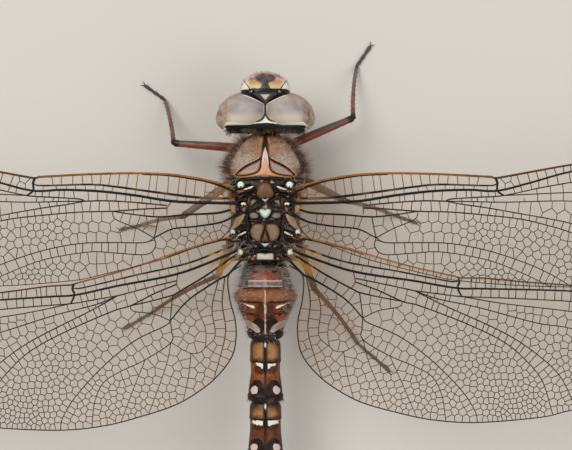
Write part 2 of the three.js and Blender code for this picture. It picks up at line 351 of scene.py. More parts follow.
# ---- Wings ---------------------------------------------------------------------------------
# Wing points lie in the wing's own plane: x away from the body, y towards the head, from the hinge.
# A vein: points, radius at the root and the tip, how far it stands over the mean plane, and its warmth,
# from 0 for black-brown to 1 for orange. A row of rungs: the two veins it joins, where along the first it
# starts and ends, how many it has and their warmth. A cell: a place and the size of the cells round it.
WING_DROOP = math.radians(3)
FORE_VEINS = {
    "costa": ([(-0.55, 1.22), (0.15, 1.37), (1.0, 1.6), (2.24, 1.9), (3.6, 2.16), (6.2, 2.5), (10, 2.63),
        (14.7, 2.53), (20.16, 2.25)], 0.12, 0.12, 0.0, 0.75),
    "costa_outer": ([(20.16, 2.25), (20.6, 2.14), (24.1, 2.77), (28.2, 3.5), (33.5, 4.25), (38.5, 4.45),
        (42.6, 3.6), (45.1, 1.7), (45.5, -0.2)], 0.12, 0.06, 0.0, 0.35),
    "margin": ([(45.5, -0.2), (44.6, -2.6), (41.5, -5.6), (37, -7.9), (32, -9.1), (28.2, -9.4), (22, -9.2),
        (16.2, -8.7), (13.3, -8.1), (7, -6.5), (2.8, -5.0), (0.9, -4.4), (-0.3, -3.2), (-0.9, -2.0)], 0.045,
        0.045, 0.0, 0.1),
    "costa_root": ([(-1.15, 0.5), (-0.34, 0.85), (0.4, 1.16), (1.33, 1.5), (2.24, 1.76), (3.36, 1.97),
        (6.2, 2.38), (9, 2.5)], 0.13, 0.06, 0, 0),
    "subcosta": ([(-0.5, -0.1), (0.15, -0.06), (3.36, 0.09), (8.09, 0.69), (11.87, 1.21), (14.69, 1.45),
        (20.27, 1.37), (20.5, 2.15)], 0.15, 0.09, -0.2, 0.0),
    "radius": ([(-0.9, -0.5), (-0.23, -0.53), (3.36, -0.47), (6.2, -0.28), (9.98, 0.32), (13.74, 0.74),
        (17.52, 0.88), (20.63, 0.79), (24.13, 1.64), (28.25, 2.77), (33.5, 3.62), (38.5, 3.8), (42.2, 2.95),
        (44.6, 1.2), (45.4, -0.1)], 0.16, 0.07, 0.22, 0.0),
    "nodus": ([(20.4, 2.2), (20.62, 1.6), (20.63, 0.79), (21.3, 0.28)], 0.13, 0.1, 0.05, 0.0),
    "arculus": ([(5.9, -0.35), (6.37, -1.05), (6.37, -1.72)], 0.08, 0.06, 0.0, 0.7),
    "sector_upper": ([(6.37, -0.78), (9.98, -0.44), (12.8, -0.28), (15.2, -0.32)], 0.09, 0.08, -0.12, 0.1),
    "sector_1": ([(15.2, -0.32), (15.65, -0.1), (18.46, 0.09), (21.3, 0.28), (25.07, 1.07), (28.25, 1.64),
        (33, 2.45), (38, 2.6), (42, 1.5), (44.95, -1.7)], 0.08, 0.05, -0.1, 0.05),
    "sector_2": ([(21.3, 0.28), (24.2, 0.42), (28.25, 0.6), (33, 0.62), (37.6, -0.35), (41.2, -2.4),
        (43.4, -3.85)], 0.06, 0.045, 0.08, 0.05),
    "interval": ([(15.2, -0.32), (17.5, -0.35), (21.3, -0.42), (28.25, -0.3), (33, -0.75), (37.5, -2.5),
        (40.4, -4.6), (41.5, -5.6)], 0.065, 0.045, 0.1, 0.05),
    "sector_3": ([(15.2, -0.32), (16.8, -0.63), (19.4, -1.0), (23.2, -1.66), (28.2, -2.6), (32, -3.8),
        (35.3, -5.7), (37, -7.9)], 0.075, 0.05, -0.1, 0.05),
    "media": ([(6.37, -1.05), (9.03, -1.16), (12.2, -1.39), (15.6, -1.47), (19.4, -1.79), (23.2, -2.23),
        (26, -2.89), (28.2, -3.55), (31.5, -4.9), (34, -6.8), (35.2, -8.4)], 0.08, 0.05, 0.1, 0.05),
    "media_rear": ([(-0.42, -1.2), (1.09, -1.58), (4.3, -1.75), (7.3, -1.98), (9.98, -1.72), (12.2, -1.39)],
        0.13, 0.065, -0.08, 0.0),
    "cubitus": ([(-1.3, -1.5), (0.5, -2.5), (3.4, -3.0), (5.8, -3.26), (7.75, -4.2)], 0.12, 0.07, 0.12, 0.0),
    "triangle_base": ([(7.3, -1.98), (7.5, -3.1), (7.75, -4.2)], 0.065, 0.065, 0.0, 0.1),
    "triangle_far": ([(7.75, -4.2), (9.6, -3.2), (11.85, -2.23), (12.2, -1.39)], 0.06, 0.05, 0, 0),
    "media_free": ([(7.75, -4.2), (8.8, -4.7), (11.9, -4.7), (15.6, -4.8), (19.4, -5.5), (23.2, -6.7),
        (26, -7.9), (28.6, -9.4)], 0.065, 0.05, -0.06, 0.1),
    "cubitus_free": ([(7.75, -4.2), (7.6, -5.1), (8.6, -5.95), (11.9, -5.8), (14.7, -5.7), (19.4, -6.5),
        (23.2, -7.9), (26.2, -9.35)], 0.06, 0.045, 0.06, 0.1),
    "root_hook": ([(-0.5, -1.9), (-0.3, -3.2), (0.7, -4.3)], 0.09, 0.05, 0.0, 0.2),
}
FORE_RUNGS = [
    ("costa", "subcosta", 1.6, 20.1, 18, 0.55), ("subcosta", "radius", 1.6, 20.0, 17, 0.75),
    ("radius", "sector_upper", 6.9, 15.0, 9, 0.4), ("radius", "sector_1", 15.9, 20.8, 6, 0.1),
    ("sector_upper", "media", 7.2, 15.0, 8, 0.3), ("sector_3", "media", 16.6, 34.3, 20, 0.05),
    ("media_rear", "cubitus", 0.9, 7.0, 6, 0.35), ("costa_outer", "radius", 22.2, 36.0, 14, 0.1),
    ("costa_outer", "radius", 40.0, 44.4, 6, 0.0), ("radius", "sector_1", 21.6, 44.4, 23, 0.05),
    ("media_free", "cubitus_free", 8.4, 25.8, 19, 0.05), ("media", "media_rear", 7.3, 11.4, 4, 0.3),
    ("interval", "sector_3", 16.6, 20.4, 4, 0.05), ("sector_1", "interval", 16.4, 20.8, 5, 0.1),
]
FORE_CELLS = [
    (2, -4, 0.7), (9.3, -3.0, 1.1), (14, -3, 0.8), (24, -4, 0.62), (13, -7, 0.75), (22, -8.5, 0.5),
    (30, 0, 0.8), (40, -2, 0.45), (33, -7.5, 0.45),
]
HIND_VEINS = {
    "costa": ([(0.2, 1.95), (1.05, 1.86), (4.8, 0.95), (8.6, -0.2), (12.4, -1.24), (16.7, -2.18)], 0.1, 0.09,
        0.0, 1.0),
    "costa_outer": ([(16.7, -2.18), (17.3, -2.34), (19.9, -2.4), (23.7, -2.75), (28.8, -3.13), (35, -3.6),
        (40, -4.6), (43.4, -6.4), (44.9, -8.8)], 0.09, 0.06, 0.0, 0.4),
    "margin": ([(44.9, -8.8), (44.2, -10.6), (41, -12.9), (36, -14.8), (28.8, -16.5), (25.6, -17.2),
        (19, -17.7), (14.3, -17.4), (10.5, -16.6), (6.7, -15.5), (3.9, -14), (2, -12.5), (0.5, -10.6),
        (0, -8.7), (0, -6.8), (0.48, -4.5), (0.5, -2.1), (-0.9, -1.0)], 0.05, 0.075, 0.0, 0.1),
    "costa_root": ([(-0.9, 1.5), (0.0, 1.55), (1.05, 1.72), (4.8, 0.82), (7, 0.12)], 0.12, 0.05, 0, 0),
    "subcosta": ([(-0.2, 1.1), (0.84, 0.74), (4.83, -0.59), (10.5, -1.63), (16.5, -2.76), (17.0, -2.3)],
        0.12, 0.08, -0.2, 0.0),
    "radius": ([(-0.6, 0.6), (0.67, 0.07), (5.78, -1.63), (12.39, -2.67), (16.8, -3.42), (19.93, -3.5),
        (28.77, -3.75), (35, -4.25), (40, -5.25), (43.0, -6.8), (44.8, -8.7)], 0.14, 0.06, 0.22, 0.0),
    "nodus": ([(17.0, -2.25), (17.15, -2.8), (16.95, -3.42), (17.39, -4.33)], 0.13, 0.09, 0.05, 0.0),
    "arculus": ([(5.86, -1.66), (6.05, -2.76), (5.7, -3.4)], 0.07, 0.06, 0.0, 0.4),
    "sector_upper": ([(6.05, -2.38), (9.35, -3.05), (12.39, -3.71)], 0.08, 0.075, -0.12, 0.1),
    "sector_1": ([(12.39, -3.71), (14.8, -4.02), (17.39, -4.33), (22, -4.5), (28.77, -4.85), (34, -5.35),
        (39, -6.4), (42.5, -8.2), (44.3, -10.4)], 0.075, 0.05, -0.1, 0.05),
    "sector_2": ([(17.39, -4.33), (22, -5.1), (28.77, -5.9), (34, -6.8), (38.6, -8.4), (42.9, -11.5)], 0.06,
        0.045, 0.08, 0.05),
    "interval": ([(12.39, -3.71), (14.8, -4.56), (19.17, -5.49), (25.2, -7.1), (28.77, -7.67), (33, -8.9),
        (37, -11.0), (39.6, -13.5)], 0.065, 0.045, 0.1, 0.05),
    "sector_3": ([(12.39, -3.71), (15.4, -5.21), (21.82, -8.14), (25.6, -10.6), (28.04, -13.02),
        (29.6, -16.3)], 0.075, 0.05, -0.1, 0.05),
    "media": ([(6.05, -2.76), (8.61, -3.71), (11.06, -4.83), (12.9, -5.3), (17.64, -7.1), (21.42, -8.89),
        (23.7, -10.6), (25.94, -13.23), (27.1, -16.85)], 0.08, 0.05, 0.1, 0.05),
    "media_rear": ([(-0.5, 0.15), (0.29, -0.32), (2.94, -2.0), (6.14, -3.71), (6.51, -3.89), (8.61, -4.37),
        (11.06, -4.83)], 0.12, 0.065, -0.08, 0.0),
    "cubitus": ([(-0.9, -0.5), (0.58, -2.0), (1.43, -2.38), (4.83, -4.46), (6.87, -6.57)], 0.13, 0.07, 0.12,
        0.0),
    "triangle_base": ([(6.51, -3.89), (6.7, -5.2), (6.87, -6.57)], 0.06, 0.06, 0.0, 0.0),
    "triangle_far": ([(6.87, -6.57), (8.6, -5.8), (10.77, -5.4), (11.06, -4.83)], 0.055, 0.05, 0, 0),
    "media_free": ([(6.87, -6.57), (7.46, -7.1), (10.87, -8.61), (14.27, -11.16), (17.29, -14.18),
        (18.8, -16.45), (19.08, -17.7)], 0.065, 0.05, -0.06, 0.05),
    "cubitus_free": ([(6.87, -6.57), (6.8, -7.6), (6.9, -8.89), (9.73, -10.6), (12.39, -11.73),
        (14.27, -12.86), (15.3, -14.9), (15.7, -17.55)], 0.06, 0.045, 0.06, 0.1),
    "loop": ([(6.9, -8.89), (4.83, -10.12), (3.41, -9.66), (3.2, -7.56), (3.89, -5.6), (4.1, -4.1)], 0.045,
        0.04, 0.0, 0.15),
    "branch_1": ([(4.83, -10.12), (5.2, -12.5), (5.9, -15.2)], 0.045, 0.04, 0.04, 0.1),
    "branch_2": ([(6.9, -8.89), (7.6, -11.5), (9.6, -16.35)], 0.045, 0.04, -0.04, 0.1),
    "branch_3": ([(9.73, -10.6), (11.0, -13.4), (12.6, -17.1)], 0.045, 0.04, 0.04, 0.1),
    "anal_1": ([(0.9, -2.2), (1.3, -5.0), (1.1, -8.2), (2.5, -12.9)], 0.075, 0.045, 0.04, 0.2),
    "anal_2": ([(1.6, -2.5), (2.4, -5.4), (2.2, -8.4), (3.41, -9.66)], 0.065, 0.045, -0.04, 0.2),
}
HIND_RUNGS = [
    ("costa", "subcosta", 3.2, 16.4, 13, 0.5), ("subcosta", "radius", 3.0, 16.4, 12, 0.75),
    ("radius", "sector_upper", 6.7, 12.0, 5, 0.4), ("radius", "sector_1", 12.8, 16.8, 5, 0.1),
    ("sector_upper", "media", 6.9, 12.2, 5, 0.3), ("sector_3", "media", 13.6, 27.2, 21, 0.05),
    ("media_rear", "cubitus", 1.6, 6.0, 4, 0.2), ("costa_outer", "radius", 18.0, 35.0, 24, 0.1),
    ("costa_outer", "radius", 39.4, 44.0, 6, 0.0), ("radius", "sector_1", 18.0, 44.0, 27, 0.05),
    ("media", "media_rear", 7.0, 10.4, 3, 0.1), ("interval", "sector_3", 13.6, 16.2, 3, 0.05),
    ("sector_1", "interval", 13.4, 16.8, 4, 0.1),
]
HIND_CELLS = [
    (1.0, -8, 0.85), (4, -8, 1.0), (8.4, -5.3, 1.0), (6, -13, 0.75), (12, -9, 0.72), (18, -9, 0.6),
    (12, -15.5, 0.42), (22, -13, 0.5), (22, -16.5, 0.36), (26, -6, 0.75), (36, -12, 0.4), (8, -15.8, 0.5),
    (4.6, -6.2, 0.9),
]
WINGS = {
    "fore": {
        "hinge": (3.99, 18.7, 12.7), "root": (-0.75, 1.0), "sweep": {"left": 0.0, "right": 0.0},
        "veins": FORE_VEINS, "rungs": FORE_RUNGS, "cells": FORE_CELLS,
        "open": [(3.0, -1.1), (6.1, -1.4)], "spot": (36.2, 39.8),
    },
    "hind": {
        "hinge": (3.47, 12.6, 12.2), "root": (-0.9, 1.2), "sweep": {"left": 2.5, "right": 0.0},
        "veins": HIND_VEINS, "rungs": HIND_RUNGS, "cells": HIND_CELLS,
        "open": [(3.0, -1.3), (5.4, -2.7)], "spot": (35.2, 38.8),
    },
}
RUNG_RADIUS = 0.041
MEMBRANE_HALF = 0.012  # half a membrane's thickness
MEMBRANE_GRID = (0.6, 0.45)
WING_LENGTH = 45
CELL_STEP = 0.1  # the grid on which a wing's fields and cells are found
VEIN_TRACE = 0.03  # how closely the long veins are drawn on it
WALL_TRACE = 0.04  # and how closely the walls of the cells are
SHORTEST_WALL, LONGEST_WALL = 0.02, 30.0
SHORTEST_LINE = 0.06  # what is left of a wall has to be longer than this
OVERRUN = 0.09  # how far a wall's end runs on into the vein it meets
FAR_SEEDS, FAR = 12, 200  # seeds set far round the wing, so that every wall has two ends
CHUNK = 1000  # how many points are worked on at a time
SMOOTHING_ROUNDS = 24
WING_SEED = {"fore": 7, "hind": 11}


class WingPlan:
    """One wing's veins and cells in its own plane, made once and used for both sides."""

    def __init__(self, name):
        plan = WINGS[name]
        self.plan = plan
        self.chance = np.random.default_rng(WING_SEED[name])
        self.veins = {key: spline(row[0]) for key, row in plan["veins"].items()}
        self.outline = np.concatenate(
            [[plan["root"]], self.veins["costa"], self.veins["costa_outer"], self.veins["margin"][1:]]
        )
        self.low = self.outline.min(0) - 1.0
        self.lines = []  # (points, radii, warmth) of every cross vein
        self.filled = [np.array(spot) for spot in plan["open"]]  # a place in each cell that is whole
        self.add_rungs()
        self.find_fields()
        self.add_cells()

    def index(self, points):
        """Grid places of points."""
        return np.round((np.asarray(points) - self.low) / CELL_STEP).astype(int).T

    def find_fields(self):
        """Numbers each patch of membrane between the long veins. Veins are 0."""
        size = ((self.outline.max(0) + 1.0 - self.low) / CELL_STEP).astype(int) + 2
        free = np.ones(size, bool)
        edge = np.concatenate([self.outline, self.outline[:1]])
        for path in [*self.veins.values(), edge, *(line[0] for line in self.lines)]:
            far = distances(path)
            dense = np.linspace(0, far[-1], int(far[-1] / VEIN_TRACE) + 2)
            spots = np.stack([np.interp(dense, far, path[:, k]) for k in (0, 1)], 1)
            free[tuple(self.index(spots))] = False
        fields = np.where(free, np.arange(1, free.size + 1).reshape(free.shape), 0)
        while True:
            spread = fields.copy()
            spread[1:] = np.maximum(spread[1:], fields[:-1])
            spread[:-1] = np.maximum(spread[:-1], fields[1:])
            spread[:, 1:] = np.maximum(spread[:, 1:], fields[:, :-1])
            spread[:, :-1] = np.maximum(spread[:, :-1], fields[:, 1:])
            spread[~free] = 0
            if (spread == fields).all():
                break
            fields = spread
        fields[fields == fields[0, 0]] = 0
        self.fields = fields

    def add_rungs(self):
        """Rows of cross veins between two long veins."""
        for upper, lower, start, end, count, warmth in self.plan["rungs"]:
            path, other = self.veins[upper], self.veins[lower]
            steps = (end - start) / count
            places = start + steps * (np.arange(count) + 0.5)
            places += self.chance.uniform(-0.16, 0.16, count) * steps
            middles = []
            for place in places:
                begin = path[np.argmin(np.abs(path[:, 0] - place))]
                finish = other[np.argmin(np.linalg.norm(other - begin, axis=1))]
                self.add_line(begin, finish, 1.15 * RUNG_RADIUS, warmth)
                middles.append((begin + finish) / 2)
            self.filled += [(a + b) / 2 for a, b in zip(middles, middles[1:])]

    def add_line(self, start, end, radius, warmth):
        """Notes one straight cross vein."""
        self.lines.append((np.array([start, end]), np.full(2, radius), np.full(2, warmth)))

    def cell_area(self, spots):
        """The size of the cells wanted at some places."""
        marks = np.array(self.plan["cells"])
        gap = np.linalg.norm(spots[:, None] - marks[None, :, :2], axis=2)
        weight = 1 / (gap + 0.4) ** 3
        return (weight * marks[:, 2]).sum(1) / weight.sum(1)

    def add_cells(self):
        """Fills the wider fields with rounded many-sided cells."""
        whole = {self.fields[tuple(self.index(spot))] for spot in self.filled}
        for field in np.unique(self.fields):
            if field == 0 or field in whole:
                continue
            spots = np.argwhere(self.fields == field) * CELL_STEP + self.low
            area = self.cell_area(spots)
            count = round(float((CELL_STEP**2 / area).sum()))
            if count < 2:
                continue
            weight = area**-2.0
            seeds = spots[self.chance.choice(len(spots), count, False, weight / weight.sum())]
            for _ in range(SMOOTHING_ROUNDS):
                owner = ((spots[:, None] - seeds[None]) ** 2).sum(2).argmin(1)
                total = np.bincount(owner, weight, count)
                sums = [np.bincount(owner, weight * spots[:, k], count) for k in (0, 1)]
                filled = total > 0
                seeds[filled] = (np.stack(sums, 1)[filled].T / total[filled]).T
            self.add_walls(seeds, field)

    def add_walls(self, seeds, field):
        """The lines halfway between neighbouring seeds, where they lie in the field."""
        around = np.linspace(0, 2 * math.pi, FAR_SEEDS, endpoint=False)
        far = seeds.mean(0) + FAR * np.stack([np.cos(around), np.sin(around)], 1)
        points = [Vector(p) for p in np.concatenate([seeds, far])]
        corners, _, faces, *_ = delaunay_2d_cdt(points, [], [], 0, 1e-6)
        centres = {}
        for face in faces:
            a, b, c = (np.array(corners[i]) for i in face)
            edges = 2 * np.array([b - a, c - a])
            centre = np.linalg.solve(edges, [b @ b - a @ a, c @ c - a @ a])
            for i in range(3):
                centres.setdefault(frozenset((face[i], face[i - 1])), []).append(centre)
        for pair in centres.values():
            if len(pair) == 2:
                self.add_wall(pair[0], pair[1], field)

    def add_wall(self, start, end, field):
        """The stretches of one wall that lie in its field."""
        length = float(np.linalg.norm(end - start))
        if length > LONGEST_WALL:
            # A wall that runs on towards a far seed is cut off well outside the wing.
            inner = min((start, end), key=lambda p: np.linalg.norm(p - self.outline.mean(0)))
            outer = end if inner is start else start
            start, end = inner, inner + (outer - inner) * LONGEST_WALL / length
            length = LONGEST_WALL
        if length < SHORTEST_WALL:
            return
        count = max(3, int(length / WALL_TRACE))
        shares = np.linspace(0, 1, count)
        spots = start + np.outer(shares, end - start)
        places = self.index(spots)
        size = np.array(self.fields.shape)[:, None]
        valid = ((places >= 0) & (places < size)).all(0)
        inside = np.zeros(count, bool)
        inside[valid] = self.fields[tuple(places[:, valid])] == field
        marks = np.flatnonzero(np.diff(np.concatenate([[False], inside, [False]]).astype(int)))
        reach = OVERRUN / length
        for first, last in zip(marks[::2], marks[1::2]):
            low = shares[first] - (reach if first > 0 else 0)
            high = shares[last - 1] + (reach if last < count else 0)
            if (high - low) * length > SHORTEST_LINE:
                ends = [start + (end - start) * share for share in (low, high)]
                self.add_line(*ends, RUNG_RADIUS, max(0.06, 0.36 - 0.014 * start[0]))

    def folds(self):
        """Every long vein's points with their height over the wing's mean plane."""
        spots, heights = [], []
        for key, path in self.veins.items():
            ridge = self.plan["veins"][key][3]
            spots.append(path)
            heights.append(ridge * (1 - 0.6 * np.clip(path[:, 0] / WING_LENGTH, 0, 1)))
        return np.concatenate(spots), np.concatenate(heights)

    def height(self, points):
        """The height of the folded membrane at places in the wing's plane."""
        spots, heights = self.fold_table
        out = np.empty(len(points))
        for start in range(0, len(points), CHUNK):
            chunk = points[start : start + CHUNK]
            gap = ((chunk[:, None] - spots[None]) ** 2).sum(2)
            weight = 1 / (gap + 0.01) ** 2
            out[start : start + CHUNK] = (weight * heights).sum(1) / weight.sum(1)
        return out


def wing_place(name, side, flat, lift):
    """Points in the insect's frame from places in a wing's plane."""
    plan = WINGS[name]
    turn = -math.radians(plan["sweep"][side])
    x = flat[:, 0] * math.cos(turn) - flat[:, 1] * math.sin(turn)
    y = flat[:, 0] * math.sin(turn) + flat[:, 1] * math.cos(turn)
    out = x * math.cos(WING_DROOP) + lift * math.sin(WING_DROOP)
    up = -x * math.sin(WING_DROOP) + lift * math.cos(WING_DROOP)
    hinge = plan["hinge"]
    return np.stack([SIDES[side] * (out + hinge[0]), y + hinge[1], up + hinge[2]], 1)


def vein_finish():
    """Horny veins: black-brown, turning to orange-brown where they are warm."""
    f = Finish("Wing vein", Roughness=0.5)
    warmth = f.attribute("warmth")
    x, _, _ = f.axes()
    outward = f.step(x.size(), 8.0, 34.0)
    dark = f.mix(outward, "#0c0806", "#1c120c")
    amber = f.mix(outward, "#b06a22", "#7c4a1e")
    mottle = f.step(f.noise(1.3, 3.0), 0.45, 0.7) * 0.5
    return f.set(Base_Color=f.mix(warmth * (1 - mottle), dark, amber))


def membrane_finish():
    """Clear membrane, amber in the cells close to the hinges."""
    f = Finish("Wing membrane", Roughness=0.25, IOR=1.5)
    x, y, _ = f.axes()
    fore = f.spot(x.size(), y, (4.1, 18.6), (1.6, 1.5), 0.6)
    # At the hind hinges the amber lies in bars between the long veins, by their slope from one point.
    slope = (y * -1.0 + 12.9) / (x.size() - 2.3)
    bars = f.band(slope, -0.02, 0.1, 0.06).most(f.band(slope, 0.3, 0.42, 0.06))
    bars = bars.most(f.band(slope, 0.62, 0.93, 0.08))
    hind = f.spot(x.size(), y, (4.4, 12.1), (1.6, 1.6), 0.75) * (bars * 0.75 + 0.25)
    root = (fore * 0.3).most(hind)
    cloud = f.noise(0.35, 3.0)
    f.colour = f.mix(root, "#a98f6a", "#b0772a")
    # Thick cells at the hinges: one dark red-brown and one tan.
    ember = f.spot(x.size(), y, (3.28, 19.02), (0.5, 0.42), 0.3)
    ember = ember.most(f.spot(x.size(), y, (4.3, 13.62), (0.32, 0.2), 0.5) * 0.7)
    tan = f.spot(x.size(), y, (3.25, 17.6), (0.42, 0.42), 0.3)
    f.paint(tan, "#a07652")
    f.paint(ember, f.blend(f.noise(3.2, 2.0), 0.3, 0.7, "#3a120a", "#6a2a0e"))
    wrinkle = f.noise(1.6, 3.0)
    return f.set(
        Base_Color=f.colour,
        Alpha=0.05 + cloud * 0.08 + root * 0.36 + ember.most(tan) * 0.75,
        Normal=f.bump(wrinkle, 0.4, 0.15),
    )


def membrane_mesh(name, side, wing):
    """A thin closed sheet over the wing's whole outline, folded with its veins."""
    outline = wing.outline
    low, high = outline.min(0), outline.max(0)
    lines = [np.arange(low[k], high[k], MEMBRANE_GRID[k]) for k in (0, 1)]
    spots = np.stack(np.meshgrid(*lines), -1).reshape(-1, 2)
    inside = [p for p in spots if wing.fields[tuple(wing.index(p))] > 0]
    flat, upper = flat_mesh(outline, inside)
    lift = wing.height(flat)
    halves = [wing_place(name, side, flat, lift + half) for half in (MEMBRANE_HALF, -MEMBRANE_HALF)]
    points, faces = sheet(*halves, upper)
    if SIDES[side] < 0:
        faces = [tuple(reversed(face)) for face in faces]
    return make_mesh(f"wing_{name}_{side}_membrane", points, faces)


def vein_paths(name, side, wing):
    """Every vein of one wing as paths in the insect's frame, with their radii and warmth."""
    rows = []
    for key, path in wing.veins.items():
        _, start, end, _, warmth = wing.plan["veins"][key]
        share = path_shares(path)
        rows.append((path, start + (end - start) * share, np.full(len(path), warmth)))
    rows += wing.lines
    flat = np.concatenate([row[0] for row in rows])
    placed = wing_place(name, side, flat, wing.height(flat))
    cuts = np.cumsum([len(row[0]) for row in rows])[:-1]
    thick = [row[1] * MM for row in rows]
    return np.split(placed, cuts), thick, [row[2] for row in rows]


def stigma_mesh(name, side, wing):
    """The thick coloured cell near the tip, between the front edge and the next long vein."""
    low, high = wing.plan["spot"]
    places = np.linspace(low, high, 16)
    rims = []
    for key, shift in (("costa_outer", 0.0), ("radius", 0.35)):
        path = wing.veins[key]
        keep = path[: np.argmax(path[:, 0]) + 1]
        rims.append(np.column_stack([places - shift, np.interp(places - shift, keep[:, 0], keep[:, 1])]))
    rows = []
    for share, lift in ((0.0, 0.0), (0.15, 0.045), (0.5, 0.06), (0.85, 0.045), (1.0, 0.0)):
        rows.append((rims[0] * (1 - share) + rims[1] * share, lift))
    for share, lift in ((0.85, -0.045), (0.5, -0.06), (0.15, -0.045)):
        rows.append((rims[0] * (1 - share) + rims[1] * share, lift))
    rings = [wing_place(name, side, flat, wing.height(flat) + lift) for flat, lift in rows]
    return Gather().add(wrap(np.stack(rings, 1))).mesh(f"wing_{name}_{side}_spot")


def make_wings():
    """Each wing's membrane, veins and spot."""
    tubes = tube_recipe()
    veins, membrane = vein_finish(), membrane_finish()
    stigma = Finish("Wing spot", Roughness=0.45)
    stigma.set(Base_Color=stigma.mix(stigma.noise(1.2, 3.0), "#6c4325", "#855a33"))
    for name in WINGS:
        wing = WingPlan(name)
        wing.fold_table = wing.folds()
        for side in SIDES:
            label = f"wing_{name}_{side}"
            skin = membrane_mesh(name, side, wing)
            add_piece(f"{label}_membrane", skin, membrane, replaces=[label])
            paths, thick, warmth = vein_paths(name, side, wing)
            lines = line_mesh(f"{label}_veins", paths, {"thick": thick, "warmth": warmth})
            mesh = tubes.run(lines, Sides=6, Material=veins.material)
            add_piece(f"{label}_veins", mesh, veins)
            spot = stigma_mesh(name, side, wing)
            add_piece(f"{label}_spot", spot, stigma)


# ---- Solid shapes --------------------------------------------------------------------------
class Gather:
    """Points, faces and point values of several closed shapes, joined as one mesh."""

    def __init__(self):
        self.points = []
        self.faces = []
        self.values = {}
        self.count = 0

    def add(self, shape, **values):
        """Takes in one shape, with a value or one for each point under each name."""
        points, faces = shape
        self.faces += [tuple(self.count + i for i in face) for face in faces]
        self.points.append(points)
        self.count += len(points)
        for label, value in values.items():
            self.values.setdefault(label, []).append(np.broadcast_to(value, len(points)))
        return self

    def mesh(self, name):
        """All the shapes as one mesh, faces outwards."""
        mesh = point_values(make_mesh(name, np.concatenate(self.points), self.faces), self.values)
        turned = bmesh.new()
        turned.from_mesh(mesh)
        bmesh.ops.recalc_face_normals(turned, faces=turned.faces)
        turned.to_mesh(mesh)
        turned.free()
        return mesh

    def piece(self, name, finish, slot, replaces=()):
        """Makes the shapes one piece on the body."""
        add_piece(name, self.mesh(name), finish, replaces)


def mirrored(shape):
    """The same shape on the other side."""
    points, faces = shape
    return points * (-1, 1, 1), faces


def wrap(rings):
    """A closed shape from rings of points: rows of quads and a fan at each end."""
    rows, around, _ = rings.shape
    ends = [rings[0].mean(0), rings[-1].mean(0)]
    points = np.concatenate([rings.reshape(-1, 3), ends])
    faces = []
    for i in range(rows - 1):
        for j in range(around):
            k = (j + 1) % around
            faces.append((i * around + j, i * around + k, (i + 1) * around + k, (i + 1) * around + j))
    last = (rows - 1) * around
    for j in range(around):
        k = (j + 1) % around
        faces.append((rows * around, j, k))
        faces.append((rows * around + 1, last + k, last + j))
    return points, faces


def rim_values(values, around):
    """A value for each ring of a wrapped shape, spread over its points."""
    values = np.asarray(values, float)
    return np.concatenate([np.repeat(values, around), values[[0, -1]]])


def oval(around, square):
    """Places round a squarish oval, starting at +x."""
    turn = np.linspace(0, 2 * math.pi, around, endpoint=False)
    c, s = np.cos(turn), np.sin(turn)
    return np.sign(c) * np.abs(c) ** (2 / square), np.sign(s) * np.abs(s) ** (2 / square)


def loft(y, centre, half, up, down, around, square):
    """Rings across the y axis."""
    c, s = oval(around, square)
    tall = np.where(s > 0, np.asarray(up)[:, None], np.asarray(down)[:, None])
    x = np.asarray(half)[:, None] * c
    z = np.asarray(centre)[:, None] + tall * s
    return np.stack([x, np.broadcast_to(np.asarray(y)[:, None], x.shape), z], 2)


def ellipsoid(centre, radii, rows=14, around=24, square=2.0, turn=None):
    """A ball or a squarish ball."""
    tilt = np.linspace(-math.pi / 2, math.pi / 2, rows + 2)[1:-1]
    c, s = np.cos(tilt) ** (2 / square), np.sign(np.sin(tilt)) * np.abs(np.sin(tilt)) ** (2 / square)
    ring_x, ring_y = oval(around, square)
    rings = np.stack([np.outer(c, ring_x), np.outer(c, ring_y), np.repeat(s[:, None], around, 1)], 2)
    points, faces = wrap(rings)
    points[-2:] = [(0, 0, -1), (0, 0, 1)]
    points = points * radii
    if turn is not None:
        points = points @ np.array(turn.to_matrix()).T
    return points + centre, faces


def tube(path, radii, sides=10):
    """A round tube along a path. Its rings start at the side and pass the top."""
    path = np.asarray(path, float)
    ahead = np.gradient(path, axis=0)
    ahead /= np.linalg.norm(ahead, axis=1)[:, None]
    across = np.cross(ahead, (0.0, 0.0, 1.0))
    across /= np.linalg.norm(across, axis=1)[:, None]
    upward = np.cross(across, ahead)
    turn = np.linspace(0, 2 * math.pi, sides, endpoint=False)[None, :, None]
    rim = across[:, None] * np.cos(turn) + upward[:, None] * np.sin(turn)
    return path[:, None] + rim * np.broadcast_to(radii, len(path))[:, None, None]


def ring_facing(rings, path, way):
    """How far each point of a tube's rings faces a way, from -1 to 1."""
    out = rings - np.asarray(path)[:, None]
    out /= np.linalg.norm(out, axis=2, keepdims=True) + 1e-9
    return np.concatenate([(out @ np.array(way)).ravel(), [0, 0]])


def profile(table, places):
    """Values of a smooth curve through a table's rows."""
    curve = spline(table, 0.05)
    return np.interp(places, curve[:, 0], curve[:, 1])


PLATE_STEP = 0.11  # how far apart a plate's points are


